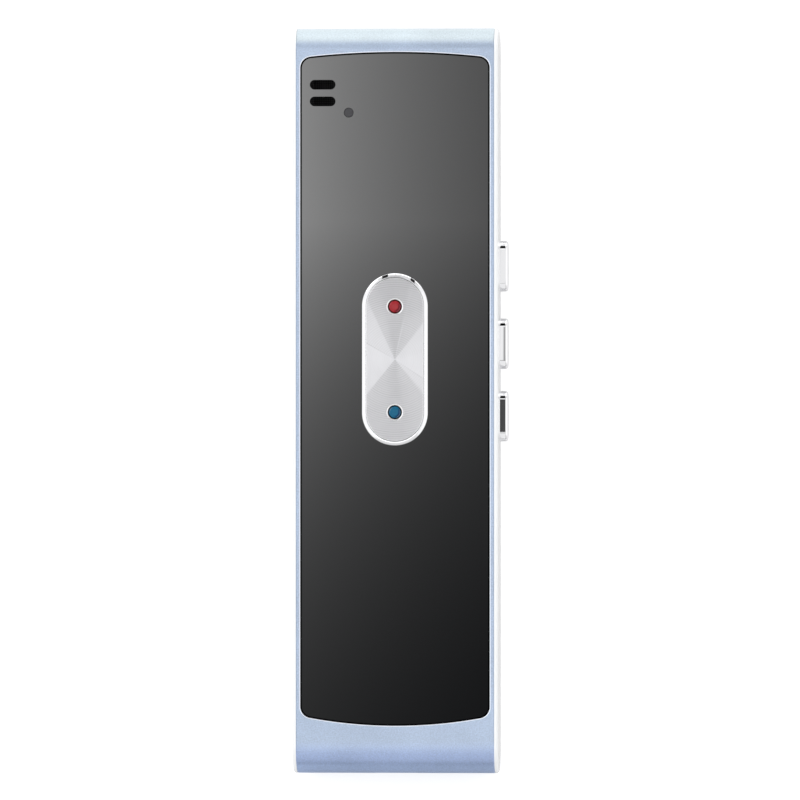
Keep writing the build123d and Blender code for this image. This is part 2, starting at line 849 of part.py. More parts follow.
def microphone_boot():
    """Rubber boot that seals the microphone to the mesh and leads sound down to its port."""
    centre = (slot_x, slot_y)
    top = inner_front - mesh_thickness
    can_top = board_top + microphone_height
    boot = round_block(centre, (boot_width, boot_length), board_top, top, boot_wall)
    can = (microphone_width + 2 * seat_gap, microphone_length + 2 * seat_gap)
    boot -= lift(Pos(*centre) * Rectangle(*can), board_top, can_top)
    boot -= post(slot_x, slot_y, boot_port_radius, can_top, top)
    funnel = (boot_width - 2 * boot_wall, boot_length - 2 * boot_wall)
    return boot - round_block(centre, funnel, can_top + boot_roof, top, boot_wall)


def indicator_lens():
    """Smoked light guide in the dot, with a flange behind the sleeve's front wall."""
    guide_bottom = light_top + light_gap
    lens = post(dot_x, dot_y, dot_radius, guide_bottom, panel_top)
    flange_bottom = inner_front - dot_flange_thickness
    return lens + post(dot_x, dot_y, dot_flange_radius, flange_bottom, inner_front)


def chip(x, y, size):
    """Moulded chip package on the front of the board."""
    width, length, height = size
    low = (x - width / 2, y - length / 2, board_top)
    body = box_between(low, (x + width / 2, y + length / 2, board_top + height))
    return chamfer(body.faces().sort_by(Axis.Z)[-1].edges(), chip_bevel)


def shield_can():
    """Pressed steel can over the processor, open underneath."""
    width, length, height = shield_size
    y = rocker_y - ring_length / 2 - shield_from_rocker
    centre = (0, y)
    roof = board_top + height
    can = round_block(centre, (width, length), board_top, roof, shield_corner_radius)
    inner = (width - 2 * shield_wall, length - 2 * shield_wall)
    inner_radius = shield_corner_radius - shield_wall
    return can - round_block(centre, inner, board_top, roof - shield_wall, inner_radius)


def processor():
    """Processor under the shield can."""
    return chip(0, rocker_y - ring_length / 2 - shield_from_rocker, processor_size)


def radio_module():
    """Radio module: a small board with its own can, bare at the antenna end."""
    width, length, height = radio_size
    y = rocker_y - ring_length / 2 - radio_from_rocker
    base_top = board_top + height
    base = box_between((-width / 2, y - length / 2, board_top), (width / 2, y + length / 2, base_top))
    can_half = width / 2 - radio_can_inset
    can_low = (-can_half, y - length / 2 + radio_can_antenna_room, base_top)
    can_high = (can_half, y + length / 2 - radio_can_inset, base_top + radio_can_height)
    return base + box_between(can_low, can_high)


def fixed_pieces():
    """Everything that belongs to the body."""
    lights = jewel_places()
    return {
        "sleeve": sleeve(),
        "right_side_cap": right_side_cap(),
        "left_side_cap": left_side_cap(),
        "front_panel": front_panel(),
        "panel_adhesive": panel_adhesive(),
        "bezel_ring": bezel_ring(),
        "pivot_pin": pivot_pin(),
        "upper_snap_dome": snap_dome(1),
        "lower_snap_dome": snap_dome(-1),
        "chassis": chassis(),
        "main_board": main_board(),
        "board_screws": board_screws(),
        "red_light": board_light(0, lights["red"]),
        "blue_light": board_light(0, lights["blue"]),
        "indicator_light": board_light(dot_x, dot_y),
        "indicator_lens": indicator_lens(),
        "slot_mesh": slot_mesh(),
        "microphone": microphone(),
        "microphone_boot": microphone_boot(),
        "loudspeaker": loudspeaker(),
        "speaker_gasket": speaker_gasket(),
        "speaker_mesh": speaker_mesh(),
        "speaker_leads": speaker_leads(),
        "battery": battery(),
        "battery_tape": battery_tape(),
        "battery_connector": battery_connector(),
        "battery_leads": battery_leads(),
        "charging_socket_shell": charging_socket_shell(),
        "charging_socket_tongue": charging_socket_tongue(),
        "shield_can": shield_can(),
        "processor": processor(),
        "radio_module": radio_module(),
        "charging_chip": chip(charger_x, bottom_end + charger_from_bottom, chip_size),
        "amplifier_chip": chip(amplifier_x, top_end - amplifier_from_top, chip_size),
        "antenna": chip(antenna_x, top_end - antenna_from_top, antenna_size),
    }


def rocker_pieces():
    """Everything that tilts with the talk key."""
    jewels = jewel_places()
    return {
        "rocker_plate": rocker_plate(),
        "rocker_carrier": rocker_carrier(),
        "red_jewel": jewel(jewels["red"]),
        "blue_jewel": jewel(jewels["blue"]),
    }


def button_pieces():
    """Each side button, with its switch body and plunger."""
    pieces = {}
    for name, y in zip(("power", "volume_up", "volume_down"), button_centres):
        pieces[f"{name}_button"] = side_button(y)
        pieces[f"{name}_plunger"] = switch_plunger(y)
        pieces[f"{name}_switch"] = side_switch(y)
    return pieces


os.makedirs("parts", exist_ok=True)
for node, shape in {**fixed_pieces(), **rocker_pieces(), **button_pieces()}.items():
    export_step(shape, f"parts/{node}.step")
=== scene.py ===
import json
import math
from functools import partial, reduce

import bmesh
import bpy
from bpy.props import FloatProperty, FloatVectorProperty, IntProperty, PointerProperty
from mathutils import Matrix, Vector


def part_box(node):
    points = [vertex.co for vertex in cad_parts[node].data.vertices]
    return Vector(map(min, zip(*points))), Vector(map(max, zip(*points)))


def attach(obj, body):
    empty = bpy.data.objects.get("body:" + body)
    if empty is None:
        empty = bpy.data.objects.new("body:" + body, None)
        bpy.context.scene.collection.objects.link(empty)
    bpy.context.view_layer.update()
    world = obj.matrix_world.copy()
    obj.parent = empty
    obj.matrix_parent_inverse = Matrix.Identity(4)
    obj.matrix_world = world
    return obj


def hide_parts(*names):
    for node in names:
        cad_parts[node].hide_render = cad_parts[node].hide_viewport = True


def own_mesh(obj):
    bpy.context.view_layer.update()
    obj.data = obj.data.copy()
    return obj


bl_info = {
    "name": "Handheld Translator",
    "version": (1, 0, 0),
    "blender": (4, 5, 0),
    "location": "View3D > Sidebar > Translator",
    "description": "Builds the outer pieces and finishes of a slim handheld translator round its frame",
    "category": "Object",
}

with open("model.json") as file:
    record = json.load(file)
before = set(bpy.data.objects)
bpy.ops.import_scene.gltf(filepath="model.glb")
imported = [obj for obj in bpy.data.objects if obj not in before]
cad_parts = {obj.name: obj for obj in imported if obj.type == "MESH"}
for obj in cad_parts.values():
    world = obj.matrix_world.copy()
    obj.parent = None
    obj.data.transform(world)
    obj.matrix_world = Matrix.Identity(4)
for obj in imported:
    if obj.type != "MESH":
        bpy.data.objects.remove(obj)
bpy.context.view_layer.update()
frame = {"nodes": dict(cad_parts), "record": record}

MM = 0.001
BUTTON_NAMES = ("power", "volume_up", "volume_down")
EDGE_BREAK = 0.06 * MM  # fine break of a small edge
ACROSS, ALONG, UP = 0, 1, 2  # axes of the body
OVERLAP = 0.05 * MM  # how far two parts of one piece run into each other
WELD = 0.0004 * MM  # points nearer than this are one, after a cut
SLIVER = 0.0002 * MM  # edges shorter than this are closed up


def from_screen(red, green, blue):
    """Linear colour for a screen colour given in 0 to 255 steps."""
    levels = (step / 255 for step in (red, green, blue))
    return tuple(level / 12.92 if level <= 0.04045 else ((level + 0.055) / 1.055) ** 2.4 for level in levels)


def number(name, description, default, **settings):
    """A number that the sidebar shows."""
    return FloatProperty(name=name, description=description, default=default, **settings)


def size_mm(name, description, millimetres):
    """A length that the sidebar shows, given in millimetres."""
    return number(name, description, millimetres * MM, unit="LENGTH", precision=5)


def colour_of(name, description, screen):
    """A colour that the sidebar shows, given as a screen colour."""
    return FloatVectorProperty(
        name=name, description=description, default=from_screen(*screen), subtype="COLOR", min=0, max=1
    )


# --- Sizes and colours that a user may change ---


class TranslatorBody(bpy.types.PropertyGroup):
    """Sizes of the sleeve and its side caps."""

    wall: size_mm("Sleeve wall", "Thickness of the aluminium wall", 1.5)
    bottom_front_radius: size_mm("Bottom front radius", "Rounding of the lower end, at the front", 5.2)
    bottom_back_radius: size_mm("Bottom back radius", "Rounding of the lower end, at the back", 5.2)
    top_front_radius: size_mm("Top front radius", "Rounding of the upper end, at the front", 4.1)
    top_back_radius: size_mm("Top back radius", "Rounding of the upper end, at the back", 4.5)
    side_bevel: size_mm("Sleeve edge bevel", "Broken edge where the sleeve meets a cap", 0.12)
    cap_edge: size_mm("Cap edge radius", "Rounding of the cap's outer edge", 0.5)
    cap_rim_wall: size_mm("Cap rim wall", "Thickness of the rim that slips into the sleeve", 0.9)
    cap_rim_depth: size_mm("Cap rim depth", "How far the rim reaches into the sleeve", 2.0)
    slip_gap: size_mm("Slip gap", "Clearance between the sleeve and what slips into it", 0.1)
    hole_radius: size_mm("Grille hole radius", "Radius of a round hole in the back", 0.6)
    hole_pitch: size_mm("Grille pitch", "Distance between neighbouring holes", 2.2)
    hole_columns: IntProperty(name="Grille columns", description="Holes across the grille", default=7)
    hole_rows: IntProperty(name="Grille rows", description="Holes along the grille", default=3)
    hole_flare: size_mm("Hole flare", "Broken edge of each small opening", 0.08)


class TranslatorPanelSizes(bpy.types.PropertyGroup):
    """Sizes of the front panel and of what shows in it."""

    top_arch: size_mm("Top arch radius", "Radius of the arched upper end", 150.0)
    bottom_arch: size_mm("Bottom arch radius", "Radius of the arched lower end", 88.0)
    corner: size_mm("Corner radius", "Rounding of the panel's corners", 1.9)
    gap: size_mm("Panel gap", "Clearance round the panel in its recess", 0.24)
    edge_bevel: size_mm("Panel edge bevel", "Polished edge of the panel", 0.06)
    recess_floor: size_mm("Recess floor", "Height of the recess floor over the back", 11.0)
    rim: size_mm("Recess rim", "Width of the bright-cut bevel round the recess", 0.17)
    slot_length: size_mm("Slot length", "Length of a sound slot", 4.7)
    slot_width: size_mm("Slot width", "Width of a sound slot", 1.7)
    slot_pitch: size_mm("Slot pitch", "Distance between the sound slots", 3.1)
    slot_relief: size_mm("Slot relief", "How much wider the sleeve's openings are", 0.2)
    slot_break: size_mm("Slot edge break", "Fine break round a sound slot", 0.05)
    lens_radius: size_mm("Lens radius", "Radius of the indicator's light guide", 0.85)
    lens_flange: size_mm("Lens flange", "Thickness of the flange round the light guide", 0.5)
    mesh_pitch: size_mm("Mesh pitch", "Distance between the strands of a mesh", 0.34)


class TranslatorTalkKey(bpy.types.PropertyGroup):
    """Sizes of the talk key and its ring."""

    band: size_mm("Ring band", "Width of the bright ring", 0.78)
    crest: size_mm("Ring crest", "How far the ring's crest lies from its outer edge", 0.58)
    crown: size_mm("Ring crown", "Height of the ring's rounded outer side", 0.32)
    inner_fall: size_mm("Ring inner fall", "Height of the ring's slanted inner side", 0.18)
    overhang: size_mm("Ring overhang", "How far the flange reaches past the skirt", 0.5)
    window_width: size_mm("Window width", "Width of the sleeve's window under the ring", 12.7)
    plate_bevel: size_mm("Plate bevel", "Broken edge of the spun plate", 0.08)
    side_gap: size_mm("Plate side gap", "Clearance between the plate and the ring at the sides", 0.05)
    end_gap: size_mm("Plate end gap", "Clearance between the plate and the ring at the ends", 0.1)
    groove_pitch: size_mm("Groove pitch", "Distance between the spun grooves", 0.4)
    groove_depth: size_mm("Groove depth", "Depth of the spun grooves", 0.016)
    seat_gap: size_mm("Jewel seat gap", "Clearance between a jewel and the plate", 0.05)
    seat_flare: size_mm("Jewel seat flare", "Bright-cut bevel round each jewel", 0.19)
    stem_radius: size_mm("Jewel stem radius", "Radius of the light-guiding stem", 1.0)
    facets: IntProperty(name="Jewel facets", description="Facets round each jewel", default=12, min=6)


class TranslatorButtons(bpy.types.PropertyGroup):
    """Sizes of the side buttons."""

    length: size_mm("Button length", "Length of a button's head", 9.4)
    width: size_mm("Button width", "Width of a button's head", 3.1)
    edge: size_mm("Button edge radius", "Rounding of the head's outer edge", 0.45)
    flange: size_mm("Flange thickness", "Thickness of the flange behind the cap", 0.6)
    stem_length: size_mm("Stem length", "Length of the stem behind the flange", 2.4)
    stem_width: size_mm("Stem width", "Width of the stem behind the flange", 1.6)
    gap: size_mm("Button gap", "Clearance between a button and its window", 0.12)
    window_flare: size_mm("Window flare", "Broken edge of a button's window", 0.1)


class TranslatorFinish(bpy.types.PropertyGroup):
    """Colours of the main pieces."""

    aluminium: colour_of("Aluminium", "Pale blue anodised finish", (184, 199, 221))
    cap: colour_of("Caps", "White of the side caps", (250, 251, 252))
    panel: colour_of("Panel", "Black of the front panel", (11, 12, 14))
    chrome: colour_of("Chrome", "Bright plated finish", (243, 243, 245))
    spun: colour_of("Spun metal", "Face of the talk key", (221, 221, 224))
    red: colour_of("Red jewel", "Upper jewel", (170, 40, 48))
    blue: colour_of("Blue jewel", "Lower jewel", (22, 106, 142))


class TranslatorStage(bpy.types.PropertyGroup):
    """Camera and lights."""

    distance: number("Camera distance", "From the front panel", 1.5, unit="LENGTH")
    yaw: number("Camera yaw", "Turn towards the side buttons", math.radians(3.5), subtype="ANGLE")
    view_width: size_mm("View width", "Width of what the camera takes in", 148.4)
    side_shift: size_mm("Side shift", "How far the view's centre lies beside the middle", 0.95)
    end_shift: size_mm("End shift", "How far the view's centre lies above the middle", 0.17)
    dome_sides: number("Dome sides", "Light level of the dome towards the sides", 1.12)
    dome_ends: number("Dome ends", "Light level of the dome towards the ends", 0.86)
    key_power: number("Key light", "Power of the soft key light", 1.6, unit="POWER")


# --- Places and outlines ---


def centre_of(node):
    """Middle of a CAD node's box."""
    return tuple((start + end) / 2 for start, end in zip(*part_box(node)))


def side_levels():
    """Where the sleeve ends and where the caps' faces lie, from the middle to a side."""
    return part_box("sleeve")[1].x, -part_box("left_side_cap")[0].x


def arc(centre, radius, start, end, steps):
    """Points of an arc between two angles in degrees, both ends included."""
    points = []
    for step in range(steps + 1):
        angle = math.radians(start + (end - start) * step / steps)
        points.append((centre[0] + radius * math.cos(angle), centre[1] + radius * math.sin(angle)))
    return points


def circle(centre, radius, steps=48):
    """Round outline."""
    return arc(centre, radius, 0, 360, steps)[:-1]


def rectangle(left, bottom, right, top):
    """Corners of a rectangle, counterclockwise."""
    return [(left, bottom), (right, bottom), (right, top), (left, top)]


def stadium(centre, length, width, inset=0.0, steps=32):
    """Slot shape with its long side along the second axis, drawn inset from its edge."""
    straight = (length - width) / 2
    radius = width / 2 - inset
    upper = arc((centre[0], centre[1] + straight), radius, 0, 180, steps)
    lower = arc((centre[0], centre[1] - straight), radius, 180, 360, steps)
    return upper + lower


def lying_stadium(centre, length, width, inset=0.0, steps=24):
    """Slot shape with its long side along the first axis."""
    return [(x, y) for y, x in stadium((centre[1], centre[0]), length, width, inset, steps)]


def rounded_polygon(corners, radius, inset=0.0, steps=6):
    """Convex outline through counterclockwise corners, moved inwards and with its corners rounded."""
    points = []
    for index, corner in enumerate(corners):
        here = Vector(corner)
        into = (Vector(corners[index - 1]) - here).normalized()
        out = (Vector(corners[(index + 1) % len(corners)]) - here).normalized()
        middle = (into + out).normalized()
        half_turn = math.acos(max(-1, min(1, into.dot(out)))) / 2
        centre = here + middle * ((inset + radius) / math.sin(half_turn))
        turn = math.degrees(math.atan2(-middle.y, -middle.x))
        reach = 90 - math.degrees(half_turn)
        points += arc(centre, radius, turn - reach, turn + reach, steps)
    return points


def side_outline(sizes, inset=0.0, steps=16):
    """Outline of the body seen from the side, as points along and up, drawn inset from its face."""
    low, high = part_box("sleeve")
    corners = (
        (high.y, high.z, sizes.top_front_radius, 0),
        (low.y, high.z, sizes.bottom_front_radius, 90),
        (low.y, low.z, sizes.bottom_back_radius, 180),
        (high.y, low.z, sizes.top_back_radius, 270),
    )
    points = []
    for y, z, radius, start in corners:
        centre = (y - math.copysign(radius, y), z - radius if z > high.z / 2 else z + radius)
        points += arc(centre, radius - inset, start, start + 90, steps)
    return points


def panel_outline(sizes, inset=0.0, arch_steps=72, corner_steps=12):
    """Front panel seen from the front: straight sides, arched ends, rounded corners."""
    low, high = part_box("front_panel")
    corner_x = high.x - sizes.corner
    radius = sizes.corner - inset
    points = []
    for way, end, arch, turn in ((1, high.y, sizes.top_arch, 0), (-1, low.y, sizes.bottom_arch, 180)):
        arch_centre = (0.0, end - way * arch)
        rise = math.sqrt((arch - sizes.corner) ** 2 - corner_x**2)
        lean = math.degrees(math.atan2(rise, corner_x))
        corner_y = arch_centre[1] + way * rise
        points += arc((way * corner_x, corner_y), radius, turn, turn + lean, corner_steps)
        points += arc(arch_centre, arch - inset, turn + lean, turn + 180 - lean, arch_steps)[1:-1]
        points += arc((-way * corner_x, corner_y), radius, turn + 180 - lean, turn + 180, corner_steps)
    return points


def ring_outline(inset, steps=32):
    """Oval outline of the bezel ring."""
    low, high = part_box("bezel_ring")
    centre = (0.0, centre_of("bezel_ring")[1])
    return stadium(centre, high.y - low.y, high.x - low.x, inset, steps)


def slot_outlines(panel, relief=0.0):
    """Outline of each sound slot as a function of its inset, made wider by a relief on each side."""
    x, y, _ = centre_of("slot_mesh")
    sizes = (panel.slot_length + 2 * relief, panel.slot_width + 2 * relief)
    return [partial(lying_stadium, (x, y + side * panel.slot_pitch / 2), *sizes) for side in (1, -1)]


def button_outline(name, buttons, steps):
    """Outline of a button's head as a function of its inset, in (along, up)."""
    return partial(lying_stadium, centre_of(f"{name}_button")[1:], buttons.length, buttons.width, steps=steps)


SOCKET_FOOT = 0.72  # half width of the socket's flat bottom, as a share of its half width


def socket_outline(radius, inset):
    """Outline of the charging socket in (across, up), seen from its mouth."""
    low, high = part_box("charging_socket_shell")
    foot = SOCKET_FOOT * high.x
    shoulder = low.z + (high.x - foot)
    corners = [
        (high.x, high.z), (low.x, high.z), (low.x, shoulder),
        (-foot, low.z), (foot, low.z), (high.x, shoulder),
    ]
    return rounded_polygon(corners, radius, inset)


def quarter(width, depth, steps):
    """Rounded edge as (inset, drop) pairs, from its outer wall to its flat top."""
    angles = [math.pi / 2 * step / steps for step in range(steps + 1)]
    return [(width * (1 - math.cos(angle)), depth * (1 - math.sin(angle))) for angle in angles]


# --- Mesh work ---


def laid(outline, axis, place):
    """Flat outline stood across an axis at a place."""
    return [(*point[:axis], place, *point[axis:]) for point in outline]


def new_piece(name, work, materials=()):
    """Object in the scene from mesh work, with its faces turned outwards."""
    bmesh.ops.recalc_face_normals(work, faces=work.faces)
    mesh = bpy.data.meshes.new(name)
    work.to_mesh(mesh)
    work.free()
    for material in materials:
        mesh.materials.append(material)
    piece = bpy.data.objects.new(name, mesh)
    bpy.context.scene.collection.objects.link(piece)
    return piece


def add_loft(work, loops, closed=False, material=0):
    """Skin over loops of points, with flat ends, or closed on itself like a ring."""
    rows = [[work.verts.new(point) for point in loop] for loop in loops]
    pairs = list(zip(rows, rows[1:]))
    if closed:
        pairs.append((rows[-1], rows[0]))
    for lower, upper in pairs:
        for index in range(len(lower)):
            following = (index + 1) % len(lower)
            quad = (lower[index], lower[following], upper[following], upper[index])
            work.faces.new(quad).material_index = material
    if not closed:
        work.faces.new(list(reversed(rows[0]))).material_index = material
        work.faces.new(rows[-1]).material_index = material


def sweep(name, outline, path, axis=UP, closed=False, materials=()):
    """Piece with a skin over an outline, drawn for the inset and at the place of each step of a path."""
    work = bmesh.new()
    add_loft(work, [laid(outline(inset), axis, place) for inset, place in path], closed)
    return new_piece(name, work, materials)


def prism(name, outline, ends, axis=UP, materials=()):
    """Piece with one outline all the way between two places."""
    return sweep(name, lambda inset: outline, [(0.0, place) for place in ends], axis, materials=materials)


def joined(name, pieces):
    """One object from several, the others removed."""
    work = bmesh.new()
    materials = []
    for piece in pieces:
        start = len(work.faces)
        work.from_mesh(piece.data)
        work.faces.ensure_lookup_table()
        for face in work.faces[start:]:
            face.material_index += len(materials)
        materials += list(piece.data.materials)
        bpy.data.objects.remove(piece)
    return new_piece(name, work, materials)


def settle_modifiers(piece):
    """Keeps the result of a piece's modifiers as its mesh."""
    graph = bpy.context.evaluated_depsgraph_get()
    result = bpy.data.meshes.new_from_object(piece.evaluated_get(graph))
    piece.modifiers.clear()
    piece.data = result


def carve(piece, cutters, operation="DIFFERENCE"):
    """Cuts closed shapes out of a piece, which keeps the finish of each cut face."""
    tool = cutters[0] if len(cutters) == 1 else joined("cutter", cutters)
    modifier = piece.modifiers.new("carve", "BOOLEAN")
    modifier.operation = operation
    modifier.solver = "EXACT"
    modifier.material_mode = "TRANSFER"
    modifier.object = tool
    settle_modifiers(piece)
    bpy.data.objects.remove(tool)
    work = bmesh.new()
    work.from_mesh(piece.data)
    bmesh.ops.remove_doubles(work, verts=work.verts, dist=WELD)
    bmesh.ops.dissolve_degenerate(work, edges=work.edges, dist=SLIVER)
    work.to_mesh(piece.data)
    work.free()


def smooth(piece, sharp_angle):
    """Smooth shading that keeps flat faces flat and breaks at sharp edges."""
    for face in piece.data.polygons:
        face.use_smooth = True
    piece.data.set_sharp_from_angle(angle=math.radians(sharp_angle))
    piece.modifiers.new("even normals", "WEIGHTED_NORMAL").keep_sharp = True
    settle_modifiers(piece)


def stand_for(piece, nodes, body, sharp_angle=30.0):
    """Puts a piece in the place of its CAD nodes, smooth where an angle for its sharp edges is given."""
    if sharp_angle:
        smooth(piece, sharp_angle)
    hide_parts(*nodes)
    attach(piece, body)


# --- Finishes ---


class Signal:
    """Output of a shader node. Arithmetic on it adds the nodes that work it out."""

    def __init__(self, wiring, socket):
        self.wiring = wiring
        self.socket = socket

    def __add__(self, other):
        return self.wiring.math("ADD", self, other)

    def __sub__(self, other):
        return self.wiring.math("SUBTRACT", self, other)

    def __mul__(self, other):
        return self.wiring.math("MULTIPLY", self, other)

    def __truediv__(self, other):
        return self.wiring.math("DIVIDE", self, other)


class Wiring:
    """Adds shader nodes to a tree and joins them up."""

    def __init__(self, owner):
        owner.use_nodes = True
        self.tree = owner.node_tree
        self.tree.nodes.clear()

    def node(self, kind, inputs=None, **settings):
        """New node with its settings, and its inputs linked or set."""
        made = self.tree.nodes.new(kind)
        for key, value in settings.items():
            setattr(made, key, value)
        for name, value in (inputs or {}).items():
            if isinstance(value, Signal):
                self.tree.links.new(value.socket, made.inputs[name])
            else:
                made.inputs[name].default_value = value
        return made

    def signal(self, kind, output=0, inputs=None, **settings):
        """One output of a new node."""
        return Signal(self, self.node(kind, inputs, **settings).outputs[output])

    def place(self, kind="Object"):
        """Coordinates of an object's own, or of the world's directions."""
        return self.signal("ShaderNodeTexCoord", kind)

    def split(self, vector):
        """The three parts of a vector."""
        made = self.node("ShaderNodeSeparateXYZ", {"Vector": vector})
        return [Signal(self, socket) for socket in made.outputs]

    def math(self, operation, *values):
        """Result of one step of arithmetic."""
        return self.signal("ShaderNodeMath", inputs=dict(enumerate(values)), operation=operation)

    def larger(self, first, second):
        """The larger of two numbers."""
        return self.math("MAXIMUM", first, second)

    def length(self, across, along):
        """Length of a flat vector."""
        return self.math("SQRT", across * across + along * along)

    def fade(self, value, start, end, before=0.0, after=1.0):
        """Smooth change from one level to another while a value grows from start to end."""
        ranges = {"Value": value, "From Min": start, "From Max": end, "To Min": before, "To Max": after}
        return self.signal("ShaderNodeMapRange", "Result", ranges, interpolation_type="SMOOTHSTEP")

    def band(self, value, low, high, edge):
        """Mask that is 1 between two values, with soft edges."""
        return self.fade(value, low - edge, low + edge) * self.fade(value, high - edge, high + edge, 1.0, 0.0)

    def blend(self, factor, first, second):
        """Number between two others."""
        return self.signal("ShaderNodeMix", 0, {0: factor, 2: first, 3: second}, data_type="FLOAT")

    def tint(self, factor, first, second, mode="MIX"):
        """Colour between two others, or one filtered by another."""
        inputs = {0: factor, 6: first, 7: second}
        return self.signal("ShaderNodeMix", 2, inputs, data_type="RGBA", blend_type=mode)

    def noise(self, coordinates, scale, detail=2.0):
        """Cloudy noise over an object's own coordinates."""
        inputs = {"Vector": coordinates, "Scale": scale, "Detail": detail}
        return self.signal("ShaderNodeTexNoise", "Fac", inputs)

    def relief(self, strength, distance, height):
        """Normal of a surface with a fine relief."""
        inputs = {"Strength": strength, "Distance": distance, "Height": height}
        return self.signal("ShaderNodeBump", "Normal", inputs)

    def shine(self, inputs):
        """Ends a material's nodes in a shader with these inputs."""
        shader = self.signal("ShaderNodeBsdfPrincipled", inputs=inputs)
        self.node("ShaderNodeOutputMaterial", {"Surface": shader})


def new_finish(name):
    """New material, the wiring of its nodes and the coordinates of what it lies on."""
    material = bpy.data.materials.new(name)
    wiring = Wiring(material)
    return material, wiring, wiring.place()


def shade(colour, factor):
    """Opaque colour made lighter or darker."""
    return tuple(min(1.0, channel * factor) for channel in tuple(colour)[:3]) + (1.0,)


WHITE = (1.0, 1.0, 1.0, 1.0)

# Plain finishes: screen colour where no property sets it, metallic, roughness, grain in millimetres, how
# far the grain shifts the colour and the roughness, and strength of the relief.
FINISHES = {
    "anodised aluminium": (None, 1.0, 0.37, 0.26, 0.24, 0.02, 0.5),
    "bright cut edge": ((238, 243, 253), 1.0, 0.38, 0.5, 0.01, 0.02, 0.0),
    # The recess black is painted shade in the recess and in the front openings.
    "recess painted shade": ((3, 3, 3), 0.0, 0.8, 0.2, 0.05, 0.04, 0.2),
    "cap white": (None, 0.0, 0.24, 0.25, 0.006, 0.01, 0.03),
    "panel black": (None, 0.0, 0.012, 1.5, 0.03, 0.003, 0.0),
    "bright chrome": (None, 1.0, 0.006, 2.0, 0.005, 0.003, 0.0),
    "bright seat": ((252, 252, 253), 1.0, 0.25, 0.5, 0.01, 0.03, 0.0),
    "jewel": (None, 0.0, 0.05, 0.4, 0.12, 0.02, 0.0),
    # The jewel rim is a near-black copy of each jewel's colour, painted shade round its edge.
    "jewel rim": (None, 0.0, 0.3, 0.3, 0.05, 0.04, 0.0),
    "smoked lens": ((56, 56, 60), 0.0, 0.3, 0.3, 0.04, 0.03, 0.05),
    "mesh black": ((3, 3, 4), 0.0, 0.8, 0.1, 0.1, 0.06, 0.1),
    "socket steel": ((200, 201, 204), 1.0, 0.25, 0.2, 0.04, 0.05, 0.1),
    "socket plastic": ((24, 24, 26), 0.0, 0.45, 0.15, 0.08, 0.05, 0.15),
    "contact gold": ((226, 190, 112), 1.0, 0.2, 0.3, 0.03, 0.04, 0.05),
    "spring steel": ((206, 207, 209), 1.0, 0.24, 0.15, 0.04, 0.05, 0.1),
    "chassis grey": ((60, 62, 65), 0.0, 0.55, 0.2, 0.08, 0.06, 0.3),
    "chip black": ((30, 30, 32), 0.0, 0.6, 0.1, 0.12, 0.06, 0.3),
    "connector white": ((232, 229, 216), 0.0, 0.45, 0.2, 0.03, 0.04, 0.2),
    "plain steel": ((198, 200, 203), 1.0, 0.28, 0.15, 0.05, 0.06, 0.1),
    "seal rubber": ((26, 26, 27), 0.0, 0.75, 0.2, 0.1, 0.05, 0.3),
    "foam tape": ((58, 58, 60), 0.0, 0.85, 0.3, 0.15, 0.05, 0.5),
    "pouch foil": ((205, 207, 210), 1.0, 0.35, 0.8, 0.05, 0.06, 0.4),
    "lead cover": ((176, 30, 26), 0.0, 0.4, 0.3, 0.06, 0.05, 0.1),
    "light lens": ((240, 236, 208), 0.0, 0.3, 0.2, 0.03, 0.05, 0.05),
}


def surface(kind, colour=None, name=None, height=0.002 * MM, filtered=None, **sockets):
    """Plain finish with a fine grain, its colour filtered by place if asked."""
    screen, metallic, roughness, grain, colour_shift, rough_shift, bump = FINISHES[kind]
    colour = from_screen(*screen) if colour is None else colour
    grain *= MM
    material, wiring, place = new_finish(name or kind)
    fine = wiring.noise(place, 1 / grain)
    broad = wiring.noise(place, 1 / (40 * grain), 3.0)
    mixed = wiring.math("MULTIPLY_ADD", broad - 0.5, 0.6, fine)
    grained = wiring.tint(mixed, shade(colour, 1 - colour_shift), shade(colour, 1 + colour_shift))
    if filtered:
        grained = wiring.tint(1.0, grained, filtered(wiring, place), "MULTIPLY")
    inputs = {
        "Base Color": grained,
        "Metallic": metallic,
        "Roughness": wiring.fade(broad, 0.3, 0.7, roughness - rough_shift, roughness + rough_shift),
    }
    if bump:
        inputs["Normal"] = wiring.relief(bump, height, fine)
    inputs.update({socket.replace("_", " "): value for socket, value in sockets.items()})
    wiring.shine(inputs)
    return material


def painted_end_light(wiring, place):
    """Painted light on the anodised body: painted shade that deepens its lower end and darkens its very edge,
    and a painted highlight that whitens its upper end.
    """
    low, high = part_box("sleeve")
    y = wiring.split(place)[1]
    # where each change starts and ends along the body, how much of it shows before and after, and its tint
    ends = (
        (low.y + 3.0 * MM, low.y + 6.5 * MM, 1.0, 0.0, (0.97, 1.01, 1.18, 1.0)),
        (low.y + 1.0 * MM, low.y + 2.6 * MM, 1.0, 0.0, (0.80, 0.85, 0.98, 1.0)),
        (high.y - 3.3 * MM, high.y - 1.9 * MM, 0.0, 1.0, (1.055, 1.0, 0.845, 1.0)),
    )
    tinted = WHITE
    for start, end, before, after, tint in ends:
        tinted = wiring.tint(wiring.fade(y, start, end, before, after), tinted, tint)
    return tinted
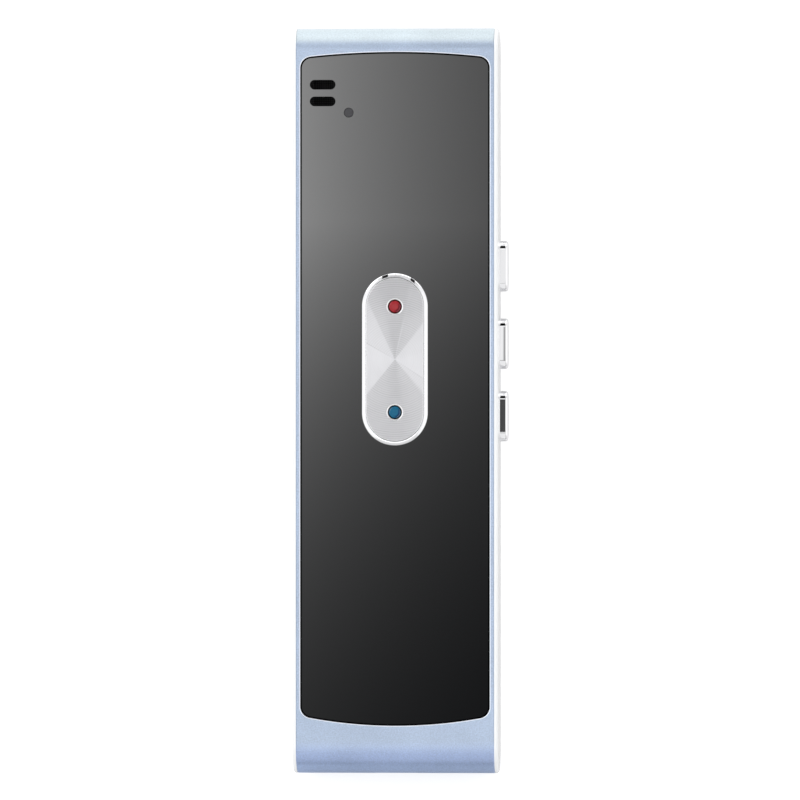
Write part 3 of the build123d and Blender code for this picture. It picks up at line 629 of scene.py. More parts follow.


# Painted sheen of the spun plate, a painted reflection laid in its colour: what changes at each direction out
# of its centre, in degrees, with the softness of the change; thin painted streaks with their width, their
# change and the share of it that is left far out; how the whole painted sheen falls towards the upper end;
# and where a streak fades.
FAN_CHANGES = (
    ("lower left fan ends", -129, 2.0, -0.16),
    ("lower wedge deepens", -80, 14.0, -0.04),
    ("lower right fan begins", -50, 4.0, 0.145),
    ("right fan", -34, 1.0, 0.055),
    ("right fan splits", 12, 4.0, -0.02),
    ("upper right fan ends", 52, 2.5, -0.13),
    ("upper wedge deepens", 79, 2.0, -0.03),
    ("upper left fan begins", 115, 1.5, 0.12),
    ("left fan", 151, 1.0, 0.06),
)
FAN_STREAKS = (
    ("streak", 77, 2.5, 0.10, 0.15),
    ("left line", 150, 1.6, -0.13, 1.0),
    ("right line", -34, 1.6, -0.12, 1.0),
)
FAN_FALL = (5.0 * MM, 13.0 * MM, 1.0, 0.94)
STREAK_FALL = (4.0 * MM, 8.5 * MM)
# The rings lighten and darken the colour as well, painted light and shade of the grooves.
RING_DEPTH = (0.80, 1.0, 0.13, 0.03)  # of the spun rings, which are deeper where the sheen is dark


def painted_sheen_fans(wiring, across, along, distance):
    """Level of the painted sheen, from the direction out of the centre: a painted highlight to both sides,
    painted shade to both ends.
    """
    turn = wiring.math("DEGREES", wiring.math("ARCTAN2", along, across))
    level = wiring.fade(along, *FAN_FALL)
    for label, middle, softness, change in FAN_CHANGES:
        step = wiring.fade(turn, middle - softness, middle + softness, 0.0, change)
        step.socket.node.label = label
        level = level + step
    for label, middle, width, change, far_share in FAN_STREAKS:
        near = wiring.band(turn, middle - width / 2, middle + width / 2, width / 2)
        line = near * wiring.fade(distance, *STREAK_FALL, change, change * far_share)
        line.socket.node.label = label
        level = level + line
    return level


def spun_metal(colour, centre, pitch):
    """Metal turned on a lathe: fine rings about a centre with painted light and dark in them, and a painted
    sheen of light and dark out from it that stands in for its reflection.
    """
    material, wiring, place = new_finish("spun aluminium")
    x, y, _ = wiring.split(place)
    across = x - centre.x
    along = y - centre.y
    distance = wiring.length(across, along)
    sheen_paint = painted_sheen_fans(wiring, across, along, distance)
    wave = wiring.math("SINE", distance * (2 * math.pi / pitch))
    from_centre = wiring.signal("ShaderNodeCombineXYZ", inputs={"X": distance})
    uneven = wiring.noise(from_centre, 1 / (3 * pitch))
    rings = wave * wiring.fade(uneven, 0.3, 0.7, 0.2, 1.0)
    level = sheen_paint * wiring.math("MULTIPLY_ADD", rings, wiring.fade(sheen_paint, *RING_DEPTH), 1.0)
    wiring.shine({
        "Base Color": wiring.tint(level, (0.0, 0.0, 0.0, 1.0), shade(colour, 1.0)),
        "Metallic": 1.0,
        "Roughness": wiring.fade(uneven, 0.2, 0.8, 0.30, 0.38),
        "Anisotropic": 0.6,
        "Anisotropic Rotation": 0.25,
        "Normal": wiring.relief(0.2, 0.004 * MM, wave),
        "Tangent": wiring.signal("ShaderNodeTangent", "Tangent", direction_type="RADIAL", axis="Z"),
    })
    return material


# Painted shade and painted highlights in a jewel, as rings with soft edges, in shares of its radius; last,
# the tint of the painted shade.
JEWEL_PAINTED_SHADE = (0.50, 0.76, 0.08)
JEWEL_PAINTED_HIGHLIGHTS = (0.74, 0.86, 0.03)
JEWEL_SHADE_TINT = (0.35, 0.3, 0.5, 1.0)


def gem(node, colour, pale):
    """Clear tinted jewel whose colour carries painted light: painted shade in a band on its right, and a
    painted highlight in a thin pale arc inside its edge on both sides.
    """
    centre = centre_of(node)
    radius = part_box(node)[1].x
    highlight_tint = tuple(light / own for light, own in zip(from_screen(*pale), tuple(colour))) + (1.0,)

    def painted_jewel_light(wiring, place):
        x, y, _ = wiring.split(place)
        across = (x - centre[0]) / radius
        along = (y - centre[1]) / radius
        reach = wiring.length(across, along)
        slant = wiring.math("MULTIPLY_ADD", across, 0.9, along * -0.45)
        shade_band = wiring.fade(slant, 0.1, 0.5) * wiring.band(reach, *JEWEL_PAINTED_SHADE)
        shaded_tint = wiring.tint(shade_band, WHITE, JEWEL_SHADE_TINT)
        edge = wiring.band(reach, *JEWEL_PAINTED_HIGHLIGHTS)
        right = edge * wiring.fade(slant, 0.4, 0.65)
        left = edge * wiring.fade(slant, -0.75, -0.45, 0.6, 0.0)
        return wiring.tint(right + left, shaded_tint, highlight_tint)

    name = node.replace("_", " ")
    return surface("jewel", colour, name, filtered=painted_jewel_light, IOR=1.3, Transmission_Weight=0.15)


# --- Pieces ---

RIM_SLOPE = math.tan(math.radians(16))  # of the bevel round the recess
WINDOW_DEPTH = 2.5 * MM  # how far the front openings reach down, which clears the sleeve's wall
SOCKET_CLEARANCE = 0.25 * MM


class TRANSLATOR_OT_sleeve(bpy.types.Operator):
    """Builds the aluminium sleeve with its recess, openings and grille."""

    bl_idname = "translator.sleeve"
    bl_label = "Aluminium sleeve"

    def execute(self, context):
        scene = context.scene
        body = scene.translator_body
        panel = scene.translator_panel
        low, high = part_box("sleeve")
        bevel = body.side_bevel
        inner = body.wall - bevel
        path = (
            (bevel, low.x), (0.0, low.x + bevel), (0.0, high.x - bevel), (bevel, high.x),
            (inner, high.x), (body.wall, high.x - bevel), (body.wall, low.x + bevel), (inner, low.x),
        )
        # The aluminium's colour carries painted shade at the lower end and a painted highlight at the upper
        # end.
        metal = surface(
            "anodised aluminium", scene.translator_finish.aluminium, height=0.022 * MM, filtered=painted_end_light
        )
        cut_metal = surface("bright cut edge")
        # The walls and floor of the recess and the walls of the front openings are near black, painted shade
        # so that the gap round the panel reads as a dark line.
        black = surface("recess painted shade", Specular_IOR_Level=0.0)
        sleeve = sweep("sleeve_shell", partial(side_outline, body), path, ACROSS, True, [metal])
        carve(sleeve, [self.recess(high, panel, [black, cut_metal])])
        cutters = self.front_openings(high, panel, scene.translator_talk_key, [black])
        cutters += self.grille(low, body, [cut_metal])
        cutters.append(self.socket_opening(low, body, [cut_metal]))
        carve(sleeve, cutters)
        stand_for(sleeve, ["sleeve"], "body")
        return {"FINISHED"}

    def recess(self, high, panel, materials):
        """Cutter for the panel's recess, with a bevel round its edge."""
        over = 0.05 * MM
        edge = -panel.gap
        foot = high.z - panel.rim * RIM_SLOPE
        path = (
            (edge, panel.recess_floor), (edge, foot), (edge - panel.rim - over / RIM_SLOPE, high.z + over),
        )
        cutter = sweep("recess_cutter", partial(panel_outline, panel), path, materials=materials)
        # Walls and floor take the near-black painted shade, the bevel the bright cut.
        for face in cutter.data.polygons:
            face.material_index = int(face.center.z > foot)
        return cutter

    def front_openings(self, high, panel, key, materials):
        """Cutters for the oval window, the sound slots and the hole of the lens."""
        ring_low, ring_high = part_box("bezel_ring")
        outlines = [stadium(centre_of("bezel_ring"), ring_high.y - ring_low.y, key.window_width)]
        outlines += [slot() for slot in slot_outlines(panel, panel.slot_relief)]
        outlines.append(circle(centre_of("indicator_lens"), panel.lens_radius + panel.slot_relief))
        margin = 0.3 * MM
        ends = (high.z - WINDOW_DEPTH, panel.recess_floor + margin)
        return [prism("opening_cutter", outline, ends, materials=materials) for outline in outlines]

    def grille(self, low, body, materials):
        """Cutters for the round holes in the back, each a little flared."""
        middle = centre_of("speaker_mesh")[1]
        radius, flare = body.hole_radius, body.hole_flare
        path = (
            (radius + 2 * flare, low.z - flare), (radius, low.z + flare), (radius, low.z + body.wall + flare),
        )
        cutters = []
        for row in range(body.hole_rows):
            for column in range(body.hole_columns):
                x = (column - (body.hole_columns - 1) / 2) * body.hole_pitch
                y = middle + (row - (body.hole_rows - 1) / 2) * body.hole_pitch
                hole = partial(circle, (x, y), steps=32)
                cutters.append(sweep("hole_cutter", hole, path, materials=materials))
        return cutters

    def socket_opening(self, low, body, materials):
        """Cutter for the charging socket's opening in the lower end."""
        flare = body.hole_flare
        steps = ((2 * flare, low.y - flare), (0.0, low.y + flare), (0.0, low.y + body.wall + flare))
        path = [(-SOCKET_CLEARANCE - spread, y) for spread, y in steps]
        return sweep("socket_cutter", partial(socket_outline, 0.35 * MM), path, ALONG, materials=materials)


class TRANSLATOR_OT_side_caps(bpy.types.Operator):
    """Builds both side caps, the right one with a window for each button."""

    bl_idname = "translator.side_caps"
    bl_label = "Side caps"

    def execute(self, context):
        scene = context.scene
        body = scene.translator_body
        plastic = surface("cap white", scene.translator_finish.cap, height=0.001 * MM, IOR=1.5)
        for side, node in ((1, "right_side_cap"), (-1, "left_side_cap")):
            cap = self.plate(body, side, plastic)
            if side == 1:
                carve(cap, [self.window(name, scene.translator_buttons) for name in BUTTON_NAMES])
            cap = joined(f"{node}_shell", [cap, self.rim(body, side, plastic)])
            stand_for(cap, [node], "body")
        return {"FINISHED"}

    def plate(self, body, side, plastic):
        """Outer plate with a rounded edge."""
        seat, face = side_levels()
        path = [(EDGE_BREAK, side * seat), (0.0, side * (seat + EDGE_BREAK))]
        path += [(inset, side * (face - drop)) for inset, drop in quarter(body.cap_edge, body.cap_edge, 8)]
        return sweep("cap_plate", partial(side_outline, body), path, ACROSS, materials=[plastic])

    def window(self, name, buttons):
        """Cutter for one button's window, flared at the face."""
        seat, face = side_levels()
        margin = 0.3 * MM
        flare = buttons.window_flare
        wall = -buttons.gap
        path = ((wall, seat - margin), (wall, face - flare), (wall - flare - margin, face + margin))
        return sweep("window_cutter", button_outline(name, buttons, 24), path, ACROSS)

    def rim(self, body, side, plastic):
        """Rim that slips into the sleeve."""
        seat = side_levels()[0] + OVERLAP
        inner = side_levels()[0] - body.cap_rim_depth
        outside = body.wall + body.slip_gap
        inside = outside + body.cap_rim_wall
        steps = ((outside, seat), (outside, inner), (inside, inner), (inside, seat))
        path = [(inset, side * x) for inset, x in steps]
        return sweep("cap_rim", partial(side_outline, body), path, ACROSS, True, [plastic])


class TRANSLATOR_OT_front_panel(bpy.types.Operator):
    """Builds the glossy front panel with its openings."""

    bl_idname = "translator.front_panel"
    bl_label = "Front panel"

    def execute(self, context):
        panel = context.scene.translator_panel
        key = context.scene.translator_talk_key
        low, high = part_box("front_panel")
        gloss = [surface("panel black", context.scene.translator_finish.panel, IOR=1.55)]
        path = ((0.0, low.z), (0.0, high.z - panel.edge_bevel), (panel.edge_bevel, high.z))
        plate = sweep("front_panel_glass", partial(panel_outline, panel), path, materials=gloss)
        margin = 0.2 * MM
        below, above = low.z - margin, high.z + margin
        skirt_gap = 0.1 * MM
        window = ring_outline(key.overhang - skirt_gap)
        lens_hole = circle(centre_of("indicator_lens"), panel.lens_radius + key.seat_gap)
        slot_path = ((0.0, below), (0.0, high.z - panel.slot_break), (-panel.slot_break - margin, above))
        cutters = [prism("panel_cutter", window, (below, above), materials=gloss)]
        cutters += [sweep("slot_cutter", slot, slot_path, materials=gloss) for slot in slot_outlines(panel)]
        cutters.append(prism("panel_cutter", lens_hole, (below, above), materials=gloss))
        carve(plate, cutters)
        stand_for(plate, ["front_panel"], "body")
        return {"FINISHED"}


class TRANSLATOR_OT_bezel_ring(bpy.types.Operator):
    """Builds the bright ring, crowned on top, with the skirt that keeps the pivot pin down."""

    bl_idname = "translator.bezel_ring"
    bl_label = "Bezel ring"

    def execute(self, context):
        key = context.scene.translator_talk_key
        low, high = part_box("bezel_ring")
        panel_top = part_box("front_panel")[1].z
        path = [(0.0, panel_top)]
        path += [(inset, high.z - drop) for inset, drop in quarter(key.crest, key.crown, 12)]
        path += [(key.band, high.z - key.inner_fall), (key.band, low.z)]
        path += [(key.overhang, low.z), (key.overhang, panel_top)]
        plating = surface("bright chrome", context.scene.translator_finish.chrome)
        outline = partial(ring_outline, steps=64)
        ring = sweep("bezel_ring_chrome", outline, path, closed=True, materials=[plating])
        stand_for(ring, ["bezel_ring"], "body")
        return {"FINISHED"}


# The bright-cut edges of the plate lie a little under its face, and fall gently, so that they shine.
BRIGHT_CUT_DEPTH = 0.025 * MM
BRIGHT_CUT_SLOPE = 0.22
GROOVE_FLANKS = (0.35, 0.65)  # where a groove's floor begins and ends, as shares of the pitch


class TRANSLATOR_OT_talk_plate(bpy.types.Operator):
    """Builds the spun face of the talk key, with its turned grooves and two jewel seats."""

    bl_idname = "translator.talk_plate"
    bl_label = "Spun talk plate"

    def execute(self, context):
        key = context.scene.translator_talk_key
        low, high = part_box("rocker_plate")
        centre = Vector((0.0, centre_of("rocker_plate")[1]))
        spun = spun_metal(context.scene.translator_finish.spun, centre, key.groove_pitch)
        bright = [surface("bright seat")]
        disc = self.grooved_disc(key, centre, low, high, spun)
        ring_low, ring_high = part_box("bezel_ring")
        length = ring_high.y - ring_low.y - 2 * (key.band + key.end_gap)
        width = ring_high.x - ring_low.x - 2 * (key.band + key.side_gap)
        oval = partial(stadium, centre, length, width, steps=48)
        path = self.bright_cut(low, high, 0.0, key.plate_bevel)
        carve(disc, [sweep("oval_cutter", oval, path, materials=bright)], "INTERSECT")
        cutters = []
        for node in ("red_jewel", "blue_jewel"):
            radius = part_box(node)[1].x + key.seat_gap
            seat = partial(circle, (0.0, centre_of(node)[1]))
            path = self.bright_cut(low, high, radius, radius + key.seat_flare)
            cutters.append(sweep("seat_cutter", seat, path, materials=bright))
        carve(disc, cutters)
        stand_for(disc, ["rocker_plate"], "talk_key", 20)
        return {"FINISHED"}

    def bright_cut(self, low, high, start, end):
        """Path of a cutter that leaves a bright edge between two insets or two radii."""
        margin = 0.1 * MM
        brink = high.z - BRIGHT_CUT_DEPTH
        foot = brink - BRIGHT_CUT_SLOPE * (end - start)
        return ((start, low.z - margin), (start, foot), (end, brink), (end, high.z + margin))

    def grooved_disc(self, key, centre, low, high, material):
        """Round disc that covers the plate, its top turned with fine grooves."""
        pitch = key.groove_pitch
        centre_flat = 0.02 * MM
        reach = (high.y - low.y) / 2 + pitch
        path = [(reach + pitch, low.z), (reach + pitch, high.z)]
        for groove in range(math.ceil(reach / pitch), 0, -1):
            crest = groove * pitch
            path.append((crest, high.z))
            path += [(crest - flank * pitch, high.z - key.groove_depth) for flank in GROOVE_FLANKS]
        path.append((centre_flat, high.z))
        return sweep("talk_plate_spun", partial(circle, centre, steps=160), path, materials=[material])


# Rows of a jewel's facets: share of its radius, share of its height, and turn as a share of a facet.
JEWEL_ROWS = ((1.0, 0.66, 0.0), (0.82, 0.84, 0.0), (0.68, 0.955, 0.5), (0.42, 1.0, 0.0))


class TRANSLATOR_OT_jewels(bpy.types.Operator):
    """Builds the red and the blue jewel, faceted and set on their light-guiding stems."""

    bl_idname = "translator.jewels"
    bl_label = "Jewels"

    def execute(self, context):
        finish = context.scene.translator_finish
        key = context.scene.translator_talk_key
        # The second colour of each jewel is the colour of its painted highlight.
        jewels = (("red_jewel", finish.red, (184, 96, 110)), ("blue_jewel", finish.blue, (118, 146, 172)))
        for node, colour, pale in jewels:
            # Each jewel's girdle takes a near-black copy of its colour, painted shade for the dark ring round
            # its edge.
            shaded_rim_name = node.replace("_", " ") + " rim"
            rim = surface("jewel rim", shade(colour, 0.1), shaded_rim_name, Specular_IOR_Level=0.05)
            jewel = self.cut_jewel(node, key, [gem(node, colour, pale), rim])
            stand_for(jewel, [node], "talk_key", None)
        return {"FINISHED"}

    def cut_jewel(self, node, key, materials):
        """Jewel with a table, a crown of facets, a girdle and a stem."""
        low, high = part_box(node)
        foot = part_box("rocker_plate")[0].z
        along = centre_of(node)[1]
        count = key.facets
        work = bmesh.new()

        def row(radius, z, turn=0.0):
            angles = (2 * math.pi * (index + turn) / count for index in range(count))
            points = [(radius * math.cos(angle), along + radius * math.sin(angle), z) for angle in angles]
            return [work.verts.new(point) for point in points]

        girdle, edge, star, table = (
            row(share * high.x, foot + rise * (high.z - foot), turn) for share, rise, turn in JEWEL_ROWS
        )
        below = [girdle, row(high.x, foot), row(key.stem_radius, foot), row(key.stem_radius, low.z)]
        for here in range(count):
            after = (here + 1) % count
            work.faces.new((girdle[here], girdle[after], edge[after], edge[here])).material_index = 1
            work.faces.new((edge[here], edge[after], star[here]))
            work.faces.new((edge[after], star[after], star[here]))
            work.faces.new((star[here], star[after], table[after]))
            work.faces.new((star[here], table[after], table[here]))
        work.faces.new(table)
        for upper, lower in zip(below, below[1:]):
            for here in range(count):
                after = (here + 1) % count
                face = work.faces.new((upper[here], upper[after], lower[after], lower[here]))
                face.material_index = int(upper is girdle)
        work.faces.new(below[-1])
        return new_piece(f"{node}_cut", work, materials)


class TRANSLATOR_OT_side_buttons(bpy.types.Operator):
    """Builds the three bright side buttons with their flanges and stems."""

    bl_idname = "translator.side_buttons"
    bl_label = "Side buttons"

    def execute(self, context):
        scene = context.scene
        buttons = scene.translator_buttons
        plating = [surface("bright chrome", scene.translator_finish.chrome)]
        front = side_levels()[0] - scene.translator_body.slip_gap
        for name in BUTTON_NAMES:
            parts = [self.head(name, buttons, front, plating), self.stem(name, buttons, front, plating)]
            button = joined(f"{name}_button_plated", parts)
            stand_for(button, [f"{name}_button"], f"{name}_key", 40)
        return {"FINISHED"}

    def head(self, name, buttons, front, plating):
        """Oval head with a rounded edge, on the flange that keeps it in, whose front is given."""
        low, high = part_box(f"{name}_button")
        back = front - buttons.flange
        lip = (buttons.length - (high.y - low.y)) / 2
        path = [
            (lip + EDGE_BREAK, back), (lip, back + EDGE_BREAK), (lip, front - EDGE_BREAK),
            (lip + EDGE_BREAK, front), (0.0, front), (0.0, high.x - buttons.edge - EDGE_BREAK),
        ]
        path += [(inset, high.x - drop) for inset, drop in quarter(buttons.edge, buttons.edge, 10)]
        return sweep("button_head", button_outline(name, buttons, 32), path, ACROSS, materials=plating)

    def stem(self, name, buttons, front, plating):
        """Stem that pushes the switch."""
        _, along, up = centre_of(f"{name}_button")
        half_length = buttons.stem_length / 2
        half_width = buttons.stem_width / 2
        corners = rectangle(along - half_length, up - half_width, along + half_length, up + half_width)
        ends = (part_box(f"{name}_button")[0].x, front - buttons.flange + OVERLAP)
        return prism("button_stem", rounded_polygon(corners, 0.2 * MM), ends, ACROSS, plating)


class TRANSLATOR_OT_indicator_lens(bpy.types.Operator):
    """Builds the smoked light guide of the indicator."""

    bl_idname = "translator.indicator_lens"
    bl_label = "Indicator lens"

    def execute(self, context):
        panel = context.scene.translator_panel
        low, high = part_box("indicator_lens")
        radius = panel.lens_radius
        wide = (high.x - low.x) / 2
        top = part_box("slot_mesh")[1].z
        bottom = top - panel.lens_flange
        path = (
            (radius, low.z), (radius, bottom), (wide, bottom), (wide, top), (radius, top),
            (radius, high.z - EDGE_BREAK), (radius - EDGE_BREAK, high.z),
        )
        smoked = surface("smoked lens", IOR=1.5)
        outline = partial(circle, centre_of("indicator_lens"))
        lens = sweep("indicator_lens_guide", outline, path, materials=[smoked])
        stand_for(lens, ["indicator_lens"], "body")
        return {"FINISHED"}


STRAND_SIDES = 6
STRAND_FILL = 0.95  # thickness of a strand, as a share of the room that the weave leaves it
STRAND_FLATNESS = 1.7  # width of a strand, as a share of its thickness


class TRANSLATOR_OT_meshes(bpy.types.Operator):
    """Builds the woven meshes behind the sound slots and behind the grille."""

    bl_idname = "translator.meshes"
    bl_label = "Woven meshes"

    def execute(self, context):
        thread = surface("mesh black", Specular_IOR_Level=0.0)
        for node in ("slot_mesh", "speaker_mesh"):
            mesh = self.weave(node, context.scene.translator_panel.mesh_pitch, thread)
            stand_for(mesh, [node], "body", 60)
        return {"FINISHED"}

    def weave(self, node, pitch, thread):
        """Plain weave of flat strands that fills the sheet's box."""
        low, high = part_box(node)
        middle = (low + high) / 2
        swing = (high.z - low.z) / 4
        radius = swing * STRAND_FILL
        work = bmesh.new()
        for axis in (ACROSS, ALONG):
            span = high[axis] - low[axis] - 2 * radius
            count = max(2, int((high[1 - axis] - low[1 - axis] - 2 * radius) / pitch))
            steps = max(2, int(span / pitch)) * 2
            for strand in range(count + 1):
                side = middle[1 - axis] + (strand - count / 2) * pitch
                loops = []
                for step in range(steps + 1):
                    place = middle[axis] - span / 2 + span * step / steps
                    phase = math.pi * ((place - middle[axis]) / pitch + strand + axis)
                    loops.append(self.section(axis, place, side, middle.z + swing * math.cos(phase), radius))
                add_loft(work, loops)
        return new_piece(f"{node}_weave", work, [thread])

    def section(self, axis, place, side, rise, radius):
        """Flattened round section of a strand that runs along an axis."""
        points = []
        for index in range(STRAND_SIDES):
            angle = 2 * math.pi * index / STRAND_SIDES
            across = side + STRAND_FLATNESS * radius * math.cos(angle)
            up = rise + radius * math.sin(angle)
            points.append((place, across, up) if axis == ACROSS else (across, place, up))
        return points


SHELL_WALL = 0.3 * MM
TONGUE_HALF_WIDTH = 1.85 * MM
TONGUE_HALF_HEIGHT = 0.3 * MM
TONGUE_TIP = 0.08 * MM  # broken edge round the tongue's tip
BLOCK_DEPTH = 1.2 * MM  # of the block that carries the tongue
BLOCK_INSET = 0.32 * MM  # of its outline from the shell's
CONTACTS = 5
CONTACT_PITCH = 0.65 * MM
CONTACT_HALF_WIDTH = 0.18 * MM
CONTACT_PROUD = 0.05 * MM  # how far a contact stands out of the tongue
CONTACT_SUNK = 0.1 * MM  # how far it is let into it


class TRANSLATOR_OT_charging_socket(bpy.types.Operator):
    """Builds the charging socket's folded shell and its tongue with contacts."""

    bl_idname = "translator.charging_socket"
    bl_label = "Charging socket"

    def execute(self, context):
        low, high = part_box("charging_socket_shell")
        path = (
            (EDGE_BREAK, low.y), (0.0, low.y + EDGE_BREAK), (0.0, high.y), (SHELL_WALL, high.y),
            (SHELL_WALL, low.y + EDGE_BREAK), (SHELL_WALL - EDGE_BREAK, low.y),
        )
        outline = partial(socket_outline, 0.3 * MM)
        steel = surface("socket steel")
        shell = sweep("charging_socket_folded_shell", outline, path, ALONG, True, [steel])
        stand_for(shell, ["charging_socket_shell"], "body")
        tongue = self.tongue(centre_of("charging_socket_shell")[2])
        stand_for(tongue, ["charging_socket_tongue"], "body")
        return {"FINISHED"}

    def tongue(self, middle):
        """Plastic tongue and its block, with gold contacts on the tongue's underside."""
        low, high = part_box("charging_socket_tongue")
        block_front = high.y - BLOCK_DEPTH
        bottom = middle - TONGUE_HALF_HEIGHT
        corners = rectangle(-TONGUE_HALF_WIDTH, bottom, TONGUE_HALF_WIDTH, middle + TONGUE_HALF_HEIGHT)
        work = bmesh.new()
        steps = ((TONGUE_TIP, low.y), (0.0, low.y + TONGUE_TIP), (0.0, block_front + TONGUE_TIP))
        add_loft(work, [laid(rounded_polygon(corners, 0.1 * MM, inset), ALONG, y) for inset, y in steps])
        block = socket_outline(0.1 * MM, BLOCK_INSET)
        add_loft(work, [laid(block, ALONG, y) for y in (block_front, high.y)])
        for contact in range(CONTACTS):
            x = (contact - CONTACTS // 2) * CONTACT_PITCH
            strip = rectangle(
                x - CONTACT_HALF_WIDTH, bottom - CONTACT_PROUD, x + CONTACT_HALF_WIDTH, bottom + CONTACT_SUNK
            )
            outline = rounded_polygon(strip, 0.03 * MM, steps=2)
            ends = (low.y + 3 * TONGUE_TIP, block_front)
            add_loft(work, [laid(outline, ALONG, y) for y in ends], material=1)
        materials = [surface("socket plastic"), surface("contact gold")]
        return new_piece("charging_socket_contacts", work, materials)


DOME_SHEET = 0.1 * MM
DOME_STEP = 0.3 * MM  # height of the step in a snap dome
DOME_VENT = 0.15 * MM
DOME_SHARES = (0.75, 0.35)  # radius at the step and at the crown, as shares of the dome's radius


class TRANSLATOR_OT_snap_domes(bpy.types.Operator):
    """Builds the two stepped snap domes in their rest shape; the real ones give way when the talk key rocks.
    """

    bl_idname = "translator.snap_domes"
    bl_label = "Snap domes"

    def execute(self, context):
        spring = surface("spring steel")
        for node in ("upper_snap_dome", "lower_snap_dome"):
            dome = self.dome(node, spring)
            stand_for(dome, [node], "body")
            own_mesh(dome)
        return {"FINISHED"}

    def dome(self, node, spring):
        """Thin dome with a step half way up and a small vent in its crown."""
        low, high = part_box(node)
        radius = (high.x - low.x) / 2
        wide, narrow = (share * radius for share in DOME_SHARES)
        step = low.z + DOME_STEP
        path = (
            (radius, low.z), (wide, step), (narrow, high.z), (DOME_VENT, high.z),
            (DOME_VENT, high.z - DOME_SHEET), (narrow - DOME_SHEET, high.z - DOME_SHEET),
            (wide - DOME_SHEET, step - DOME_SHEET), (radius - DOME_SHEET, low.z),
        )
        outline = partial(circle, centre_of(node))
        return sweep(f"{node}_spring", outline, path, closed=True, materials=[spring])


INNER_FINISHES = {
    "chassis_grey": "chassis grey",
    "chip_black": "chip black",
    "connector_white": "connector white",
    "steel": "plain steel",
    "seal_rubber": "seal rubber",
    "foam_tape": "foam tape",
    "pouch_foil": "pouch foil",
    "lead_cover": "lead cover",
    "light_lens": "light lens",
}


class TRANSLATOR_OT_inner_parts(bpy.types.Operator):
    """Gives each inner part that is carried over its own finish."""

    bl_idname = "translator.inner_parts"
    bl_label = "Inner parts"

    def execute(self, context):
        finishes = {slot: surface(kind) for slot, kind in INNER_FINISHES.items()}
        finishes["board_green"] = self.circuit_board()
        slot_of = {part["node"]: part["material_slot"] for part in frame["record"]["subparts"]}
        for name, node in frame["nodes"].items():
            if not node.hide_render:
                node.data.materials.clear()
                node.data.materials.append(finishes[slot_of[name]])
        return {"FINISHED"}

    def circuit_board(self):
        """Green solder mask with copper tracks that show through it."""
        material, wiring, place = new_finish("circuit board")
        sizes = {"Vector": place, "Scale": 180.0, "Mortar Size": 0.03}
        tracks = wiring.signal("ShaderNodeTexBrick", "Fac", sizes)
        mask = from_screen(16, 84, 56) + (1.0,)
        copper = from_screen(46, 120, 78) + (1.0,)
        wiring.shine({
            "Base Color": wiring.tint(tracks, mask, copper),
            "Roughness": wiring.fade(wiring.noise(place, 4000.0), 0.3, 0.7, 0.3, 0.42),
            "Normal": wiring.relief(0.2, 0.01 * MM, tracks),
        })
        return material


# --- Stage ---

FLOOR_REACH = 6.0
FLOOR_PAINT = (0.72, 0.72, 0.72, 1.0)
FLOOR_SEEN = 0.5  # glow that lifts the seen floor to white

# Glow of the floor in mirrors, beside both caps and beyond the upper end: axis, start and end of each
# change in metres, and the glow before and after it.
FLOOR_GLOWS = ((0, 0.018, 0.024, 0.0, 0.2), (0, -0.024, -0.018, 0.4, 0.0), (1, 0.066, 0.075, 0.0, 0.75))

# Changes of the dome's level over the direction's y: what is added above, and what share is left below.
DOME_GAINS = ((0.08, 0.32, -0.13), (0.50, 0.82, 0.97))
DOME_LOSSES = ((-0.65, -0.25, 0.85), (-0.97, -0.90, 0.55))
DOME_TURN = (0.70, 0.80)  # share of y in a level direction, where the sides end and the ends begin
DOME_BELOW = 1.0

# Two dark panels that stand beyond the upper end, as the directions between which each lies, in degrees
# from the upper end towards the side buttons. The directions start from a point that lies as far to the
# left as the camera lies to the right, so that a polished ring mirrors each panel straight across its
# band. The panels end near the zenith and near the horizon.
DARK_PANELS = ((-23, -12), (29.5, 38.5))
DARK_LEVEL = 0.02
PANEL_START = -0.0617
PANEL_ZENITH = (0.054, 0.066)
PANEL_HORIZON = (0.16, 0.22)

# In what follows, u and v are a direction's x and y over its height. The patch over the front panel.
PATCH_CENTRE = -0.060
PATCH_HALF_WIDTH = 0.045
PATCH_HALF_LENGTH = 0.075
PATCH_EDGE = (0.7, 1.4)  # where it fades out, in shares of its half sizes
PATCH_LEVEL = 5.05
PATCH_LEFT = -0.085  # u beyond which nothing more is gained to the left
PATCH_MIDDLE = -0.0735  # u at which nothing is lost to the right
PATCH_TOP = 0.022  # v above which nothing is lost downwards
PATCH_LOSS_RIGHT = 46.0
PATCH_LOSS_DOWN = 39.5
PATCH_LOSS_BOTH = 200.0

# What the side buttons mirror: x of a white strip with v of the dark mark in it, and u and v of the part
# for their faces, with v of the steps from face to face and the levels of each face over u.
SHARP = 0.0002
STRIP_SIDES = (-0.0503, -0.0472)
STRIP_LEVEL = 0.92
STRIP_GAP = (0.055, 0.065)
MARK_ENDS = (0.25, 1.15)
MARK_LEVEL = 0.005
FACES_ACROSS = (-0.0494, -0.044)
FACES_ALONG = (-0.02, 0.03)
FACE_STEPS = ((-0.0063, -0.0060), (0.0024, 0.0028), (0.0114, 0.0122))
FACE_EDGE = (-0.0488, -0.0487)
UPPER_FACE = (0.62, 0.92)
MIDDLE_FACE = (0.40, 0.96)
MIDDLE_FALL = (-0.04845, -0.0482, 1.0, 0.38)
LOWER_FACE = (-0.04875, -0.0486, 0.035, 0.075)

KEY_LIGHT_SIZE = 0.45
KEY_LIGHT_PLACE = (-0.75, 0.62, 1.05)


